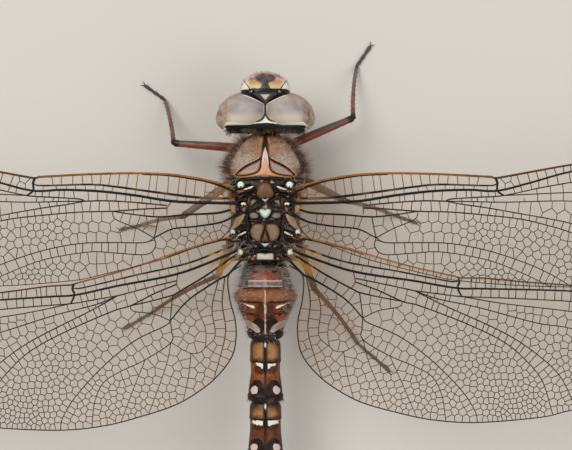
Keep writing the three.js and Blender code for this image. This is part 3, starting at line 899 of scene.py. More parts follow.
def plate(outline, base, rise, rim=0.3, sink=0.1):
    """A domed plate seen from above: its outline, what it lies on, its height and its rim's width.

    Returns the shape and how far each of its points is from the outline.
    """
    corners = np.asarray(outline, float)
    loop = spline(np.concatenate([corners[-2:], corners, corners[:2]]), PLATE_STEP)
    start = np.argmin(np.linalg.norm(loop[:60] - corners[0], axis=1))
    stop = len(loop) - 1 - np.argmin(np.linalg.norm(loop[::-1][:60] - corners[0], axis=1))
    loop = loop[start:stop]
    low, high = loop.min(0), loop.max(0)
    lines = [np.arange(low[k], high[k], PLATE_STEP) for k in (0, 1)]
    inner = np.stack(np.meshgrid(*lines), -1).reshape(-1, 2)
    inner = inner[np.linalg.norm(inner[:, None] - loop[None], axis=2).min(1) > PLATE_STEP * 0.5]
    flat, upper = flat_mesh(loop, inner)
    edge = np.linalg.norm(flat[:, None] - loop[None], axis=2).min(1)
    dome = rise * np.sqrt(1 - (1 - np.clip(edge / rim, 0, 1)) ** 2)
    ground = base(flat[:, 0], flat[:, 1])
    top = np.column_stack([flat, ground + dome])
    bottom = np.column_stack([flat, ground - sink])
    return sheet(top, bottom, upper), np.concatenate([edge, edge])


# ---- Hair ----------------------------------------------------------------------------------
PATCH_HALF = 0.0015  # half a hair's patch on the OFBake map
ROOT_DEPTH = 0.04  # how far a hair starts under the skin


class Field:
    """The grown area of a body: rings of points, sampled for hair roots."""

    def __init__(self, rings, density, seed):
        self.chance = np.random.default_rng(seed)
        self.rings = rings
        along = np.gradient(rings, axis=0)
        wide = (np.roll(rings, -1, 1) - np.roll(rings, 1, 1)) / 2
        normal = np.cross(wide, along)
        self.area = np.linalg.norm(normal, axis=2)
        normal /= self.area[..., None] + 1e-9
        outward = rings - rings.mean(1, keepdims=True)
        flip = np.sign((normal * outward).sum(2, keepdims=True))
        self.normals = normal * np.where(flip == 0, 1, flip)
        self.weight = self.area * density(*np.moveaxis(rings, 2, 0), *np.moveaxis(self.normals, 2, 0))
        self.weight[-1] = 0

    def roots(self, count):
        """Random places on the skin, its way there, and where they are on its unwrap."""
        rows, around, _ = self.rings.shape
        share = self.weight.ravel() / self.weight.sum()
        spots = self.chance.choice(share.size, count, p=share)
        i, j = np.divmod(spots, around)
        u, v = self.chance.uniform(0, 1, (2, count, 1))
        k, m = (j + 1) % around, np.minimum(i + 1, rows - 1)
        near = self.rings[i, j] * (1 - u) + self.rings[i, k] * u
        far = self.rings[m, j] * (1 - u) + self.rings[m, k] * u
        place = near * (1 - v) + far * v
        uv = np.column_stack([(j + u[:, 0]) / around, (i + v[:, 0]) / rows])
        return place, self.normals[i, j], uv * 0.98 + 0.01


def grow(name, finish, slot, field, count, lean, length, radius, rise=0.6, stray=0.35, sag=0.25):
    """A piece of tapered hairs on a field.

    `lean` is how they lie: outwards, more of it for each millimetre outwards, towards the head, and up.
    Each hair's patch of the OFBake map is 0.003 across, at its root's place on the skin's unwrap.
    """
    chance = field.chance
    place, normal, uv = field.roots(count)
    out, spread, ahead, up = lean
    x = place[:, 0]
    lean = np.stack([np.sign(x) * (out + spread * np.abs(x)), np.full(count, ahead), np.full(count, up)], 1)
    way = normal * rise + lean * (1 - rise) + chance.normal(0, stray, (count, 3))
    way /= np.linalg.norm(way, axis=1)[:, None]
    side = np.cross(way, chance.normal(0, 1, (count, 3)))
    side /= np.linalg.norm(side, axis=1)[:, None] + 1e-9
    third = np.cross(way, side)
    long = (length * chance.uniform(0.55, 1.15, count))[:, None]
    stem = [place - way * ROOT_DEPTH, place + way * long * 0.5, place + way * long + lean * long * sag]
    stem[1] = stem[1] + lean * long * sag * 0.2
    turns = [0.0, 2.094, 4.189]  # three corners, a third of a turn apart
    points = []
    for spine, thick in zip(stem[:2], (radius, radius * 0.75)):
        points += [spine + thick * (side * math.cos(t) + third * math.sin(t)) for t in turns]
    points.append(stem[2])
    points = np.stack(points, 1).reshape(-1, 3)
    pattern = [(2, 1, 0), (0, 1, 4, 3), (1, 2, 5, 4), (2, 0, 3, 5), (3, 4, 6), (4, 5, 6), (5, 3, 6)]
    faces = [tuple(7 * n + i for i in face) for n in range(count) for face in pattern]
    mesh = make_mesh(name, points, faces)
    patch = PATCH_HALF * np.array([(math.cos(t), math.sin(t)) for t in turns] * 2 + [(0, 0)])
    patch[3:6] *= 0.6
    layer = mesh.uv_layers.new(name="OFBake")
    order = np.array([i for face in pattern for i in face])
    maps = (uv[:, None] + patch[order][None]).reshape(-1)
    layer.data.foreach_set("uv", maps.astype(np.float32))
    add_piece(name, mesh, finish)


def hair_finish(name, root, tip_colour, share=0.5):
    """Hair of two colours in patches; share is how much of it has the first."""
    f = Finish(name, Roughness=0.6)
    vary = f.step(f.noise(0.8, 2.0), share - 0.2, share + 0.2)
    return f.set(Base_Color=f.mix(vary, root, tip_colour))


# ---- Thorax --------------------------------------------------------------------------------
THORAX_FRONT, THORAX_REAR = 25.3, 12.0
THORAX_HALF = [
    (12, 2.1), (12.8, 2.75), (14.5, 3.35), (17, 3.7), (19.5, 4.1), (21.4, 4.33), (22.3, 4.28), (23.4, 3.78),
    (24.4, 2.95), (24.9, 2.66), (25.15, 2.4), (25.3, 1.95),
]
THORAX_TOP = [
    (12, 11.9), (12.8, 12.5), (14.5, 12.95), (17, 13.15), (18.6, 13.2), (19.6, 13.7), (21.5, 13.35),
    (23.2, 12.5), (24.5, 11.5), (25.3, 10.7),
]
THORAX_BOTTOM = [
    (12, 7.4), (12.8, 6.5), (14.5, 5.5), (17, 4.6), (19.5, 4.0), (21.5, 3.9), (23.2, 4.3), (24.5, 5.3),
    (25.3, 6.4),
]
THORAX_SQUARE = 2.35
THORAX_ROWS, THORAX_AROUND = 120, 108
SHOULDER_X, SHOULDER_Y = 4.1, 22.2  # where the shoulder seam is furthest out
SHOULDER_SLANT, SHOULDER_AHEAD, SHOULDER_BEHIND = 0.35, 0.095, 0.28  # how it runs in from there
CREST_Y = 21.0  # where the front panels end and the sunken back between the wings starts


def soft_step(value, low, high):
    """0 at low and 1 at high, with a smooth rise."""
    t = np.clip((value - low) / (high - low), 0, 1)
    return t * t * (3 - 2 * t)


def thorax_relief(x, y):
    """How far the top stands over the plain barrel: the sunken back, the crest and the keel."""
    half = profile(THORAX_HALF, y)
    across = np.abs(x) / half
    back = soft_step(y, 12.1, 12.7) * soft_step(y, CREST_Y + 0.1, CREST_Y - 0.35)
    sunk = -0.55 * back * soft_step(across, 0.99, 0.8)
    keel = 0.16 * np.exp(-((x / 0.14) ** 2)) * soft_step(y, CREST_Y, CREST_Y + 0.6)
    ridge_y = CREST_Y + 0.75 - 0.12 * np.abs(x)
    crest = 0.14 * np.exp(-(((y - ridge_y) / 0.35) ** 2)) * soft_step(across, 0.9, 0.7)
    shoulder = -0.12 * np.exp(-(((np.abs(x) - shoulder_x(y)) / 0.12) ** 2)) * soft_step(y, 20.9, 21.4)
    return sunk + keel + crest + shoulder


def shoulder_x(y):
    """The seam at each side of the front panels."""
    ahead, behind = np.maximum(y - SHOULDER_Y, 0), np.maximum(SHOULDER_Y - y, 0)
    inwards = SHOULDER_SLANT * ahead
    return SHOULDER_X - inwards - SHOULDER_AHEAD * ahead**2 - SHOULDER_BEHIND * behind**2


def thorax_rows(y):
    """Centre, half width, and reach up and down at places along the thorax."""
    bottom, top = profile(THORAX_BOTTOM, y), profile(THORAX_TOP, y)
    centre = bottom + 0.55 * (top - bottom)
    return centre, profile(THORAX_HALF, y), top - centre, centre - bottom


def thorax_top(x, y):
    """The height of the thorax's upper side."""
    centre, half, up, _ = thorax_rows(np.clip(y, THORAX_REAR, THORAX_FRONT))
    inside = np.clip(np.abs(x) / half, 0, 0.97)
    arch = (1 - inside**THORAX_SQUARE) ** (1 / THORAX_SQUARE)
    return centre + up * arch + thorax_relief(x, y)


def thorax_rings():
    """The thorax as rings of points, with its relief."""
    y = np.linspace(THORAX_FRONT, THORAX_REAR, THORAX_ROWS)
    rings = loft(y, *thorax_rows(y), THORAX_AROUND, THORAX_SQUARE)
    facing_up = oval(THORAX_AROUND, THORAX_SQUARE)[1]
    high = soft_step(np.tile(facing_up, (THORAX_ROWS, 1)), 0.1, 0.4)
    rings[:, :, 2] += high * thorax_relief(rings[:, :, 0], rings[:, :, 1])
    return rings


def thorax_finish():
    """Brown front panels with a dark keel and a pink stripe, banded sides and a black back with painted
    glints.
    """
    f = Finish("Thorax shell", Roughness=0.5, Coat_Weight=0.08)
    x, y, z = f.axes()
    wide = x.size()
    blotch = f.noise(0.9, 4.0)
    panel = f.blend(wide, 0.4, 2.4, "#b48466", "#ad8e76")
    panel = f.mix(f.step(blotch, 0.35, 0.7) * 0.5, panel, "#7c5a46")
    glow = f.spot(wide, y, (2.3, 22.6), (1.4, 0.95), 0.8)
    panel = f.mix(glow * 0.75, panel, "#c2ac9b")
    collar = y + wide * wide * 0.05
    panel = f.mix(f.band(collar, 24.78, 24.98, 0.08) * 0.6, panel, "#b98d6c")
    panel = f.blend(collar, 25.05, 25.15, panel, "#8e4b1c")
    rear_glow = f.step(y, 22.4, 21.4) * f.step(wide, 2.9, 3.4)
    panel = f.mix(rear_glow, panel, "#94643f")
    keel_half = f.step(y, 25.0, 24.0) * 0.14 + 0.22 + f.step(y, 24.0, 22.4) * 0.12
    panel = f.mix(f.step(wide - keel_half, 0.2, 0.06) * 0.7, panel, "#95501f")
    keel = f.step(wide - keel_half, 0.04, -0.03)
    stripe_half = f.step(y, 24.3, 23.1) * 0.27 + f.step(y, 23.3, 22.2) * 0.1
    stripe = f.step(wide - stripe_half, 0.03, -0.03) * f.step(y, 24.2, 24.0)
    panel = f.mix(keel, panel, f.blend(blotch, 0.4, 0.6, "#15110f", "#3a3535"))
    pink = f.blend(wide, 0.05, 0.28, "#e4b9a7", "#e6d8d0")
    pink = f.blend(y, 22.6, 21.5, pink, "#c99572")
    panel = f.mix(stripe, panel, pink)
    stipple = f.step(f.noise(6.0, 2.0), 0.46, 0.6) * (1 - keel) * (1 - stripe)
    panel = f.mix(stipple * 0.3, panel, "#74523e")
    # Two pale bands slope up and back across each side.
    slope = y + z * 0.55
    side = f.blend(blotch, 0.3, 0.7, "#5a3a26", "#7a5236")
    bands = f.band(slope, 25.3, 26.9, 0.12).most(f.band(slope, 20.6, 22.4, 0.12))
    side = f.mix(bands, side, "#b8a465")
    seams = f.band(slope, 25.0, 25.25, 0.06).most(f.band(slope, 22.45, 22.7, 0.06))
    seams = seams.most(f.band(slope, 20.3, 20.55, 0.06)).most(f.band(slope, 26.95, 27.2, 0.06))
    side = f.mix(seams, side, "#1c130e")
    ahead, behind = (y - SHOULDER_Y).most(0.0), (y * -1.0 + SHOULDER_Y).most(0.0)
    seam_x = ahead * -SHOULDER_SLANT + ahead * ahead * -SHOULDER_AHEAD
    seam_x = seam_x + behind * behind * -SHOULDER_BEHIND + SHOULDER_X
    seam_x = seam_x + (f.noise(2.2, 4.0) - 0.5) * 0.4
    shoulder = f.band(wide - seam_x, -0.44, 0.12, 0.12) * f.step(z, 9.3, 10.3)
    low = f.step(z - wide * 0.4, 8.6, 7.6)
    f.colour = f.mix(low, panel, side)
    f.paint(shoulder * f.step(y, 20.6, 21.2) * 0.9, "#2c1c1b")
    back = f.step(y, CREST_Y - 0.02, CREST_Y - 0.16) * f.step(z, 9.8, 10.6)
    murk = f.blend(f.noise(1.3, 4.0), 0.5, 0.62, "#0a0807", "#57331c")
    # The pale flecks over the black back are painted glints: highlights laid into its colour.
    murk = f.blend(f.noise(2.1, 4.0), 0.6, 0.68, murk, "#b3a08a")
    f.paint(back, murk)
    grain = f.noise(5.0, 3.0, stretch=(1.0, 0.35, 1.0))
    return f.set(
        Base_Color=f.mix(grain * 0.25, f.colour, "#3b2a20"), Normal=f.bump(grain, 0.5, 0.06)
    )


def plate_finish(name, middle, side, border, border_width=0.09, gloss=0.35, inner=3.2):
    """A plate's skin: middle colour, side colour near its rim and a thin border."""
    f = Finish(name, Roughness=gloss, Coat_Weight=0.2)
    edge = f.attribute("edge")
    mottle = f.noise(3.2, 5.0)
    f.colour = f.blend(edge, border_width * inner, border_width * 1.4, middle, side)
    f.paint(f.step(mottle, 0.42, 0.72) * 0.5, side)
    f.paint(f.step(edge, border_width * 1.15, border_width * 0.7), border)
    return f.set(Base_Color=f.colour, Normal=f.bump(f.noise(2.8, 5.0), 0.8, 0.16))


# Plates of the back, for the right side: finish, height, rim, outline. Those marked `whole` cross the
# middle and give only their right half.
PLATES = [
    ("grey", 0.16, 0.22, [(0.42, 22.9), (0.46, 22.0), (0.74, 21.45), (1.4, 21.15), (2.3, 21.0), (2.95, 21.0),
        (3.12, 21.16), (2.7, 21.58), (1.9, 22.14), (1.0, 22.56)]),
    ("brown", 0.75, 0.4, "whole", [(0, 20.35), (0.45, 20.22), (0.78, 19.75), (0.95, 19.15), (0.85, 18.85),
        (0.5, 18.62), (0, 18.7)]),
    ("tip", 0.5, 0.15, "whole", [(0, 18.62), (0.22, 18.72), (0.46, 18.68), (0.25, 18.42), (0, 18.22)]),
    ("dull", 0.35, 0.2, [(0.68, 18.5), (1.2, 18.64), (1.58, 18.55), (1.66, 17.62), (1.2, 17.98)]),
    ("orange", 0.4, 0.08, [(1.68, 18.85), (1.88, 18.6), (1.84, 18.0), (1.68, 18.1)]),
    ("orange", 0.3, 0.1, [(0.95, 19.0), (1.25, 19.22), (1.5, 19.12), (1.2, 18.9)]),
    ("black", 0.42, 0.15, [(1.1, 19.95), (1.6, 20.1), (2.2, 19.95), (3.15, 19.62), (3.3, 19.25),
        (2.3, 19.12), (1.4, 19.35)]),
    ("cream", 0.72, 0.1, [(1.16, 19.94), (1.34, 20.02), (1.85, 19.84), (2.4, 19.62), (2.42, 19.48),
        (1.85, 19.56), (1.24, 19.76)]),
    ("orange", 0.62, 0.1, [(2.1, 19.48), (2.4, 19.58), (3.1, 19.5), (3.15, 19.26), (2.4, 19.26)]),
    ("red", 0.3, 0.2, [(2.9, 19.12), (3.8, 19.2), (3.85, 18.62), (3.1, 18.6)]),
    ("black", 0.62, 0.15, [(1.92, 18.85), (2.5, 18.72), (3.2, 18.42), (4.2, 18.35), (4.2, 18.05),
        (3.3, 18.05), (2.6, 18.3), (1.95, 18.45)]),
    ("black", 0.4, 0.2, [(2.6, 18.0), (3.4, 18.05), (3.6, 17.6), (3.2, 17.25), (2.5, 17.3)]),
    ("dull", 0.3, 0.2, [(2.0, 17.85), (2.5, 17.75), (2.55, 17.3), (2.1, 17.15)]),
    ("heart", 0.8, 0.35, "whole", [(0, 17.52), (0.32, 17.62), (0.64, 17.5), (0.64, 17.18), (0.4, 16.78),
        (0, 16.52)]),
    ("dull", 0.5, 0.3, [(0.68, 17.05), (1.05, 17.28), (1.6, 17.22), (1.78, 16.85), (1.55, 16.48),
        (1.0, 16.42), (0.62, 16.65)]),
    ("tan", 0.45, 0.2, [(2.1, 17.05), (2.6, 16.98), (3.25, 16.55), (3.75, 15.7), (4.0, 15.1), (3.55, 15.15),
        (2.75, 15.75), (2.3, 16.4)]),
    ("lobe", 0.78, 0.4, [(0.1, 15.85), (0.5, 16.05), (1.15, 15.98), (1.55, 15.45), (1.56, 14.85),
        (1.25, 14.3), (0.8, 14.08), (0.5, 14.15), (0.33, 14.7), (0.12, 15.3)]),
    ("wedge", 0.6, 0.2, "whole", [(0, 15.35), (0.14, 15.0), (0.42, 14.2), (0.2, 14.1), (0, 14.12)]),
    ("tip", 0.5, 0.15, "whole", [(0, 13.96), (0.35, 14.0), (0.55, 13.95), (0.25, 13.65), (0, 13.46)]),
    ("dull", 0.4, 0.15, [(0.75, 13.68), (1.1, 13.86), (1.5, 14.0), (1.25, 13.5), (0.88, 13.32)]),
    ("black", 0.42, 0.12, [(1.85, 15.2), (2.2, 15.3), (3.1, 14.8), (3.95, 14.3), (3.9, 13.95), (3.2, 14.1),
        (2.2, 14.75)]),
    ("cream", 0.72, 0.1, [(1.95, 15.18), (2.14, 15.24), (2.62, 15.0), (3.05, 14.74), (2.98, 14.6),
        (2.45, 14.74), (2.0, 14.98)]),
    ("orange", 0.62, 0.1, [(2.75, 14.58), (3.0, 14.7), (3.85, 14.3), (3.8, 14.02), (3.05, 14.24)]),
    ("red", 0.3, 0.15, [(3.3, 14.0), (3.95, 13.95), (4.1, 13.5), (3.5, 13.45)]),
    ("black", 0.55, 0.15, [(2.3, 13.9), (2.8, 13.75), (3.5, 13.3), (4.1, 12.95), (3.9, 12.65), (3.1, 13.0),
        (2.4, 13.5)]),
    ("black", 0.4, 0.15, [(2.1, 12.9), (2.5, 12.6), (3.6, 12.2), (3.4, 12.0), (2.6, 12.15), (2.0, 12.5)]),
    ("rear", 0.62, 0.25, "whole", [(0, 12.92), (0.55, 12.98), (0.92, 12.9), (0.98, 12.5), (0.9, 12.14),
        (0.4, 12.1), (0, 12.1)]),
    ("orange", 0.35, 0.12, [(1.15, 12.5), (1.45, 12.45), (1.5, 12.15), (1.2, 12.12)]),
]
CREST_PLATE = [
    (0, 23.0), (0.22, 22.7), (0.36, 22.25), (0.47, 21.8), (0.78, 21.4), (1.5, 21.1), (2.7, 20.98),
    (2.75, 20.8), (1.6, 20.88), (0.8, 21.0), (0, 21.08),
]
PALE_RIDGE = [(0.62, 22.98), (1.05, 22.72), (1.95, 22.3), (2.72, 21.76), (3.3, 21.14)]
RIDGES = [  # radius, height over the back, points
    (0.07, 0.06, [(0.44, 23.0), (0.62, 22.82), (1.02, 22.6), (1.92, 22.18), (2.7, 21.64), (3.15, 21.2)]),
    (0.13, 0.3, [(-3.4, 20.1), (-2.9, 20.5), (-1.6, 20.72), (0, 20.8), (1.6, 20.72), (2.9, 20.5),
        (3.4, 20.1)]),
    (0.07, 0.5, [(1.05, 19.65), (1.15, 19.98), (1.6, 20.2), (2.1, 20.1), (2.2, 19.75), (2.9, 19.72),
        (3.35, 19.5), (3.3, 19.15), (2.4, 19.02), (1.5, 19.18), (1.05, 19.65)]),
    (0.08, 0.5, [(1.95, 18.8), (1.45, 18.88), (0.95, 18.6), (0.45, 18.3)]),
    (0.09, 0.45, [(0.35, 18.2), (0.75, 17.85), (1.35, 17.6), (1.75, 17.75)]),
    (0.1, 0.45, [(-1.7, 16.35), (-0.8, 16.28), (0, 16.25), (0.8, 16.28), (1.7, 16.35)]),
    (0.08, 0.45, [(1.85, 17.1), (1.9, 16.4), (1.72, 15.9), (1.8, 15.1), (1.5, 14.1), (0.9, 13.95)]),
    (0.07, 0.55, [(1.82, 15.2), (1.95, 15.45), (2.5, 15.35), (3.3, 14.95), (4.05, 14.45), (4.05, 13.95),
        (3.3, 13.98), (2.4, 14.45), (1.82, 15.2)]),
    (0.06, 0.5, [(0.62, 13.75), (0.75, 13.4), (1.2, 13.2), (1.7, 13.3), (2.1, 13.8)]),
    (0.1, 0.5, [(-1.05, 13.0), (-0.5, 13.22), (0, 13.28), (0.5, 13.22), (1.05, 13.0)]),
    (0.09, 0.3, [(4.6, 18.25), (4.0, 18.2), (3.3, 18.2), (2.6, 18.42), (2.1, 18.62)]),
    (0.08, 0.3, [(5.0, 17.1), (4.3, 17.3), (3.6, 17.55), (3.0, 17.6)]),
    (0.08, 0.3, [(4.4, 16.3), (3.6, 16.65), (2.9, 16.95), (2.2, 17.12), (1.95, 17.4)]),
    (0.09, 0.3, [(4.6, 12.5), (3.8, 12.9), (3.1, 13.3), (2.5, 13.6)]),
    (0.08, 0.3, [(4.3, 11.3), (3.7, 11.9), (3.1, 12.5), (2.7, 12.6)]),
]
KNOBS = [  # finish, x, y, height over the back, radii, how far the notch is from the middle
    ("mint", 2.56, 20.1, 0.45, (0.37, 0.36, 0.3), 0.22),
    ("cream", 2.29, 18.08, 0.5, (0.28, 0.17, 0.2), 0.12),
    ("mint", 3.44, 15.12, 1.0, (0.26, 0.28, 0.25), 0.2),
    ("cream", 2.69, 12.98, 1.1, (0.34, 0.34, 0.3), 0.4),
]


def crest_finish():
    """The crest: tan, with the stripe's pink and its pale rims running on into the tongue."""
    f = plate_finish("Plate crest", "#c99572", "#c0844f", "#b0703a", 0.05)
    plain = Wire(f, f.surface.inputs["Base Color"].links[0].from_socket)
    x, y, _ = f.axes()
    pink = f.blend(x.size(), 0.1, 0.32, "#d3a78c", "#d9c9c0")
    return f.set(Base_Color=f.blend(y, 21.35, 22.6, plain, pink))


def plate_finishes():
    """The skins of the plates, ridges and knobs, by the names their tables use."""
    return {
        "grey": plate_finish("Plate grey", "#95918d", "#a5602e", "#0f0c0b", 0.15, inner=1.95),
        "brown": plate_finish("Plate brown", "#694c34", "#865833", "#2a170e", 0.07),
        "lobe": plate_finish("Plate lobe", "#7e6a52", "#73533a", "#85481a", 0.06),
        "wedge": plate_finish("Plate wedge", "#5a4038", "#6a4430", "#8f4f1f", 0.05),
        "tip": plate_finish("Plate blue", "#b9c3cc", "#a3adb6", "#5a5f66", 0.05),
        "dull": plate_finish("Plate dull", "#7c7064", "#54453a", "#2a1c14", 0.08),
        "orange": plate_finish("Plate orange", "#ad6534", "#8f4a20", "#4a2410", 0.04),
        "crest": crest_finish(),
        "black": plate_finish("Plate black", "#100d0b", "#131010", "#4a4644", 0.04, 0.25),
        "cream": plate_finish("Plate cream", "#ece3c6", "#dccba2", "#8a5a2c", 0.03),
        "mint": plate_finish("Plate mint", "#dbe8d8", "#cfdfce", "#9aa596", 0.02),
        "heart": plate_finish("Plate heart", "#c9d6c6", "#bccaba", "#4a4a3e", 0.05),
        "red": plate_finish("Plate red", "#4a1a0c", "#6a2a10", "#2a1008", 0.05),
        "pale": plate_finish("Plate pale", "#cbb8a8", "#b59d8a", "#8a7460", 0.02),
        "tan": plate_finish("Plate tan", "#b39379", "#a4805f", "#7a4a26", 0.05, 0.5),
        "rear": plate_finish("Plate rear", "#bcb6a6", "#8e8470", "#2a211a", 0.08),
    }


def whole_outline(half):
    """A full outline from its right half, which starts and ends in the middle."""
    other = [(-x, y) for x, y in reversed(half) if x > 0]
    return [*half, *other]


def rooted(points, middle, drop):
    """The same points, with those under the middle lowered, so that the shape stands in the back."""
    return points - (points[..., 2:] < middle - 1e-4) * np.array([0, 0, drop])


HINGES = [  # from the root of a long vein to a place inside the thorax
    ((2.95, 19.27, 12.7), (2.4, 19.2, 12.2)),
    ((2.8, 17.1, 12.88), (2.25, 17.0, 11.8)),
    ((3.85, 14.42, 12.12), (3.05, 14.3, 10.7)),
    ((3.05, 12.78, 12.06), (2.4, 12.9, 10.8)),
    ((2.6, 12.03, 12.34), (2.0, 12.35, 10.8)),
]


def make_hinges():
    """Short stalks that carry the roots of the long veins down into the thorax."""
    hinge = Finish("Wing hinge", Roughness=0.45)
    hinge.set(Base_Color=hinge.mix(hinge.noise(2.5, 3.0), "#3a2114", "#6e4424"))
    stalks = Gather()
    for root, end in HINGES:
        shape = wrap(tube(np.linspace(root, end, 5), [0.09, 0.12, 0.15, 0.18, 0.22], 12))
        stalks.add(shape).add(mirrored(shape))
    stalks.piece("wing_hinges", hinge, "thorax_shell")


def add_plates(groups):
    """The plates of the back and its crest."""
    rows = [*PLATES, ("crest", 0.12, 0.3, "whole", CREST_PLATE)]
    for kind, rise, rim, *rest in rows:
        group = groups.setdefault(kind, Gather())
        whole = rest[0] == "whole"
        outline = whole_outline(rest[1]) if whole else rest[0]
        shape, edge = plate(outline, thorax_top, rise, rim)
        group.add(shape, edge=edge)
        if not whole:
            group.add(mirrored(shape), edge=edge)


def add_ridges(groups):
    """Black ridges, and the pale one that frames the tongue."""
    for radius, rise, places in RIDGES:
        path = spline(places, 0.08)
        height = thorax_top(path[:, 0], path[:, 1]) + rise
        ridge = tube(np.column_stack([path, height]), radius, 8)
        shape = wrap(rooted(ridge, height[:, None, None], rise))
        groups["black"].add(shape, edge=1.0)
        if places[0][0] > 0:
            groups["black"].add(mirrored(shape), edge=1.0)
    path = spline(PALE_RIDGE, 0.08)
    shape = wrap(tube(np.column_stack([path, thorax_top(path[:, 0], path[:, 1]) + 0.05]), 0.045, 8))
    groups.setdefault("pale", Gather()).add(shape, edge=1.0).add(mirrored(shape), edge=1.0)


def add_knobs(groups):
    """Pale knobs, each with a dark notch behind it."""
    for kind, x, y, rise, radii, gap in KNOBS:
        group = groups.setdefault(kind, Gather())
        centre = np.array([x, y, thorax_top(np.array([x]), np.array([y]))[0] + rise])
        points, faces = ellipsoid(centre, radii)
        knob = rooted(points, centre[2], rise), faces
        notch = ellipsoid(centre + (0, -gap, 0.85 * radii[2] - 0.1), (0.1, 0.14, 0.17), 8, 12)
        for shape, target in ((knob, group), (notch, groups["black"])):
            target.add(shape, edge=1.0)
            target.add(mirrored(shape), edge=1.0)


def make_neck():
    """The small ring between head and thorax, widening to the rear."""
    front, rear = 25.91, 25.34
    y = np.linspace(25.95, 25.3, 8)
    share = (y - front) / (rear - front)
    neck = loft(y, np.full(8, 8.2), 1.1 + 0.65 * share, 1.1 + 0.5 * share, 1.5 + 1.2 * share, 32, 2.0)
    finish = Finish("Neck shell", Roughness=0.5, Base_Color="#2a1c14")
    Gather().add(wrap(neck)).piece("prothorax_skin", finish, "thorax_shell", ["prothorax"])


def make_thorax():
    """The thorax's skin, the plates, ridges and knobs on it, the neck, the wing hinges and the coat."""
    rings = thorax_rings()
    Gather().add(wrap(rings)).piece("thorax_skin", thorax_finish(), "thorax_shell", ["thorax"])
    finishes = plate_finishes()
    groups = {}
    add_plates(groups)
    add_ridges(groups)
    add_knobs(groups)
    for kind, group in groups.items():
        group.piece(f"plates_{kind}", finishes[kind], "thorax_shell")
    make_neck()
    make_hinges()
    grow_thorax(rings)


def grow_thorax(rings):
    """The thorax's coat. Each area gives how thickly hair grows at a place that faces a way."""
    pale = hair_finish("Hair pale", "#a99a86", "#cdbfa8")
    brown = hair_finish("Hair brown", "#54392a", "#8f6f58")
    dark = hair_finish("Hair dark", "#241a17", "#50393a")
    panel_y, hollow_y = CREST_Y + 0.3, CREST_Y - 0.3

    def front(x, y, z, nx, ny, nz):
        return (y > panel_y) * (np.abs(x) > 0.45) * (np.abs(x) < shoulder_x(y) - 0.3) * (nz > -0.5)

    def shoulder(x, y, z, nx, ny, nz):
        return (y > panel_y) * (np.abs(np.abs(x) - shoulder_x(y)) < 0.3) * (z > 9.8)

    def collar(x, y, z, nx, ny, nz):
        return (y > 24.55) * (z > 8.8) * (np.abs(x) > 0.5)

    def fringe(x, y, z, nx, ny, nz):
        return (np.abs(nx) > 0.5) * (z > 6.8) * (z < 9.5) * (y > 20.4)

    def sides(x, y, z, nx, ny, nz):
        return (np.abs(nx) > 0.45) * (y < 24.5) * (0.25 + 0.75 * (z < 9.0)) + 0.4 * (nz < -0.3)

    def back(x, y, z, nx, ny, nz):
        return (y < hollow_y) * (nz > 0.3) * (0.12 + soft_step(np.abs(x), 0.9, 2.0))

    def hinges(x, y, z, nx, ny, nz):
        near = np.exp(-(((np.abs(x) - 3.0) / 0.8) ** 2))
        return near * (nz > 0) * (np.exp(-(((y - 20.4) / 0.6) ** 2)) + np.exp(-(((y - 13.6) / 1.2) ** 2)))

    collar_finish = hair_finish("Hair collar", "#6b503c", "#b39c82")
    fringe_finish = hair_finish("Hair fringe", "#6a4c36", "#b3967a")
    white = hair_finish("Hair white", "#cfc6b8", "#e8e2d6")
    away, over = (0.35, 0.2, 0.55, -0.1), (0.35, 0, -0.35, 0.3)
    for name, finish, area, seed, count, lean, long, radius, *habit in (
        ("hair_brown", brown, front, 3, 720, away, 0.3, 0.014, 0.5, 0.25),
        ("hair_pale", pale, front, 4, 240, away, 0.42, 0.014, 0.5, 0.25),
        ("hair_dark", dark, shoulder, 7, 420, away, 0.48, 0.014, 0.5, 0.25),
        ("collar_hair", collar_finish, collar, 14, 330, (0, 0.3, 0.7, 0.35), 0.8, 0.013, 0.5, 0.3),
        ("fringe_hair", fringe_finish, fringe, 15, 650, (0.8, 0, 0.25, 0.1), 1.0, 0.012, 0.5, 0.3),
        ("side_hair", brown, sides, 5, 2000, (0.6, 0, 0.3, -0.5), 0.6, 0.012),
        ("back_hair", pale, back, 6, 420, over, 1.0, 0.014, 0.6, 0.5),
        ("hinge_hair", white, hinges, 9, 130, over, 1.3, 0.018, 0.6, 0.7),
    ):
        field = Field(rings, area, seed)
        grow(f"thorax_{name}", finish, "thorax_shell", field, count, lean, long, radius, *habit)


# ---- Head ----------------------------------------------------------------------------------
EYE_CENTRE = (2.45, 27.98, 9.0)
EYE_RADII = (2.8, 2.05, 3.75)
EYE_LEAN, EYE_TURN = 0.16, 0.3
SEAM = 0.02


def eye_rear(wide, step=soft_step):
    """Where the flat back of the head cuts the eyes off, by distance from the middle."""
    return 26.7 - 0.22 * step(wide, 0.5, 1.9) - 1.1 * step(wide, 4.0, 5.1)


def eye_shape(side):
    """One eye: a leaning ball cut off flat where it meets the other, and behind."""
    sign = SIDES[side]
    turn = Euler((0, -sign * EYE_LEAN, -sign * EYE_TURN))
    centre = (sign * EYE_CENTRE[0], *EYE_CENTRE[1:])
    points, faces = ellipsoid(centre, EYE_RADII, 60, 90, turn=turn)
    points[:, 0] = sign * np.maximum(sign * points[:, 0], SEAM)
    wide = np.abs(points[:, 0])
    corner = soft_step(wide, 3.2, 4.9) * soft_step(points[:, 1], 28.4, 26.9)
    points[:, 0] += sign * 0.14 * corner
    points[:, 1] -= 0.2 * corner
    back = np.maximum(points[:, 1], eye_rear(wide))
    points[:, 1] = np.where(points[:, 2] > 6.5, back, points[:, 1])
    return points, faces


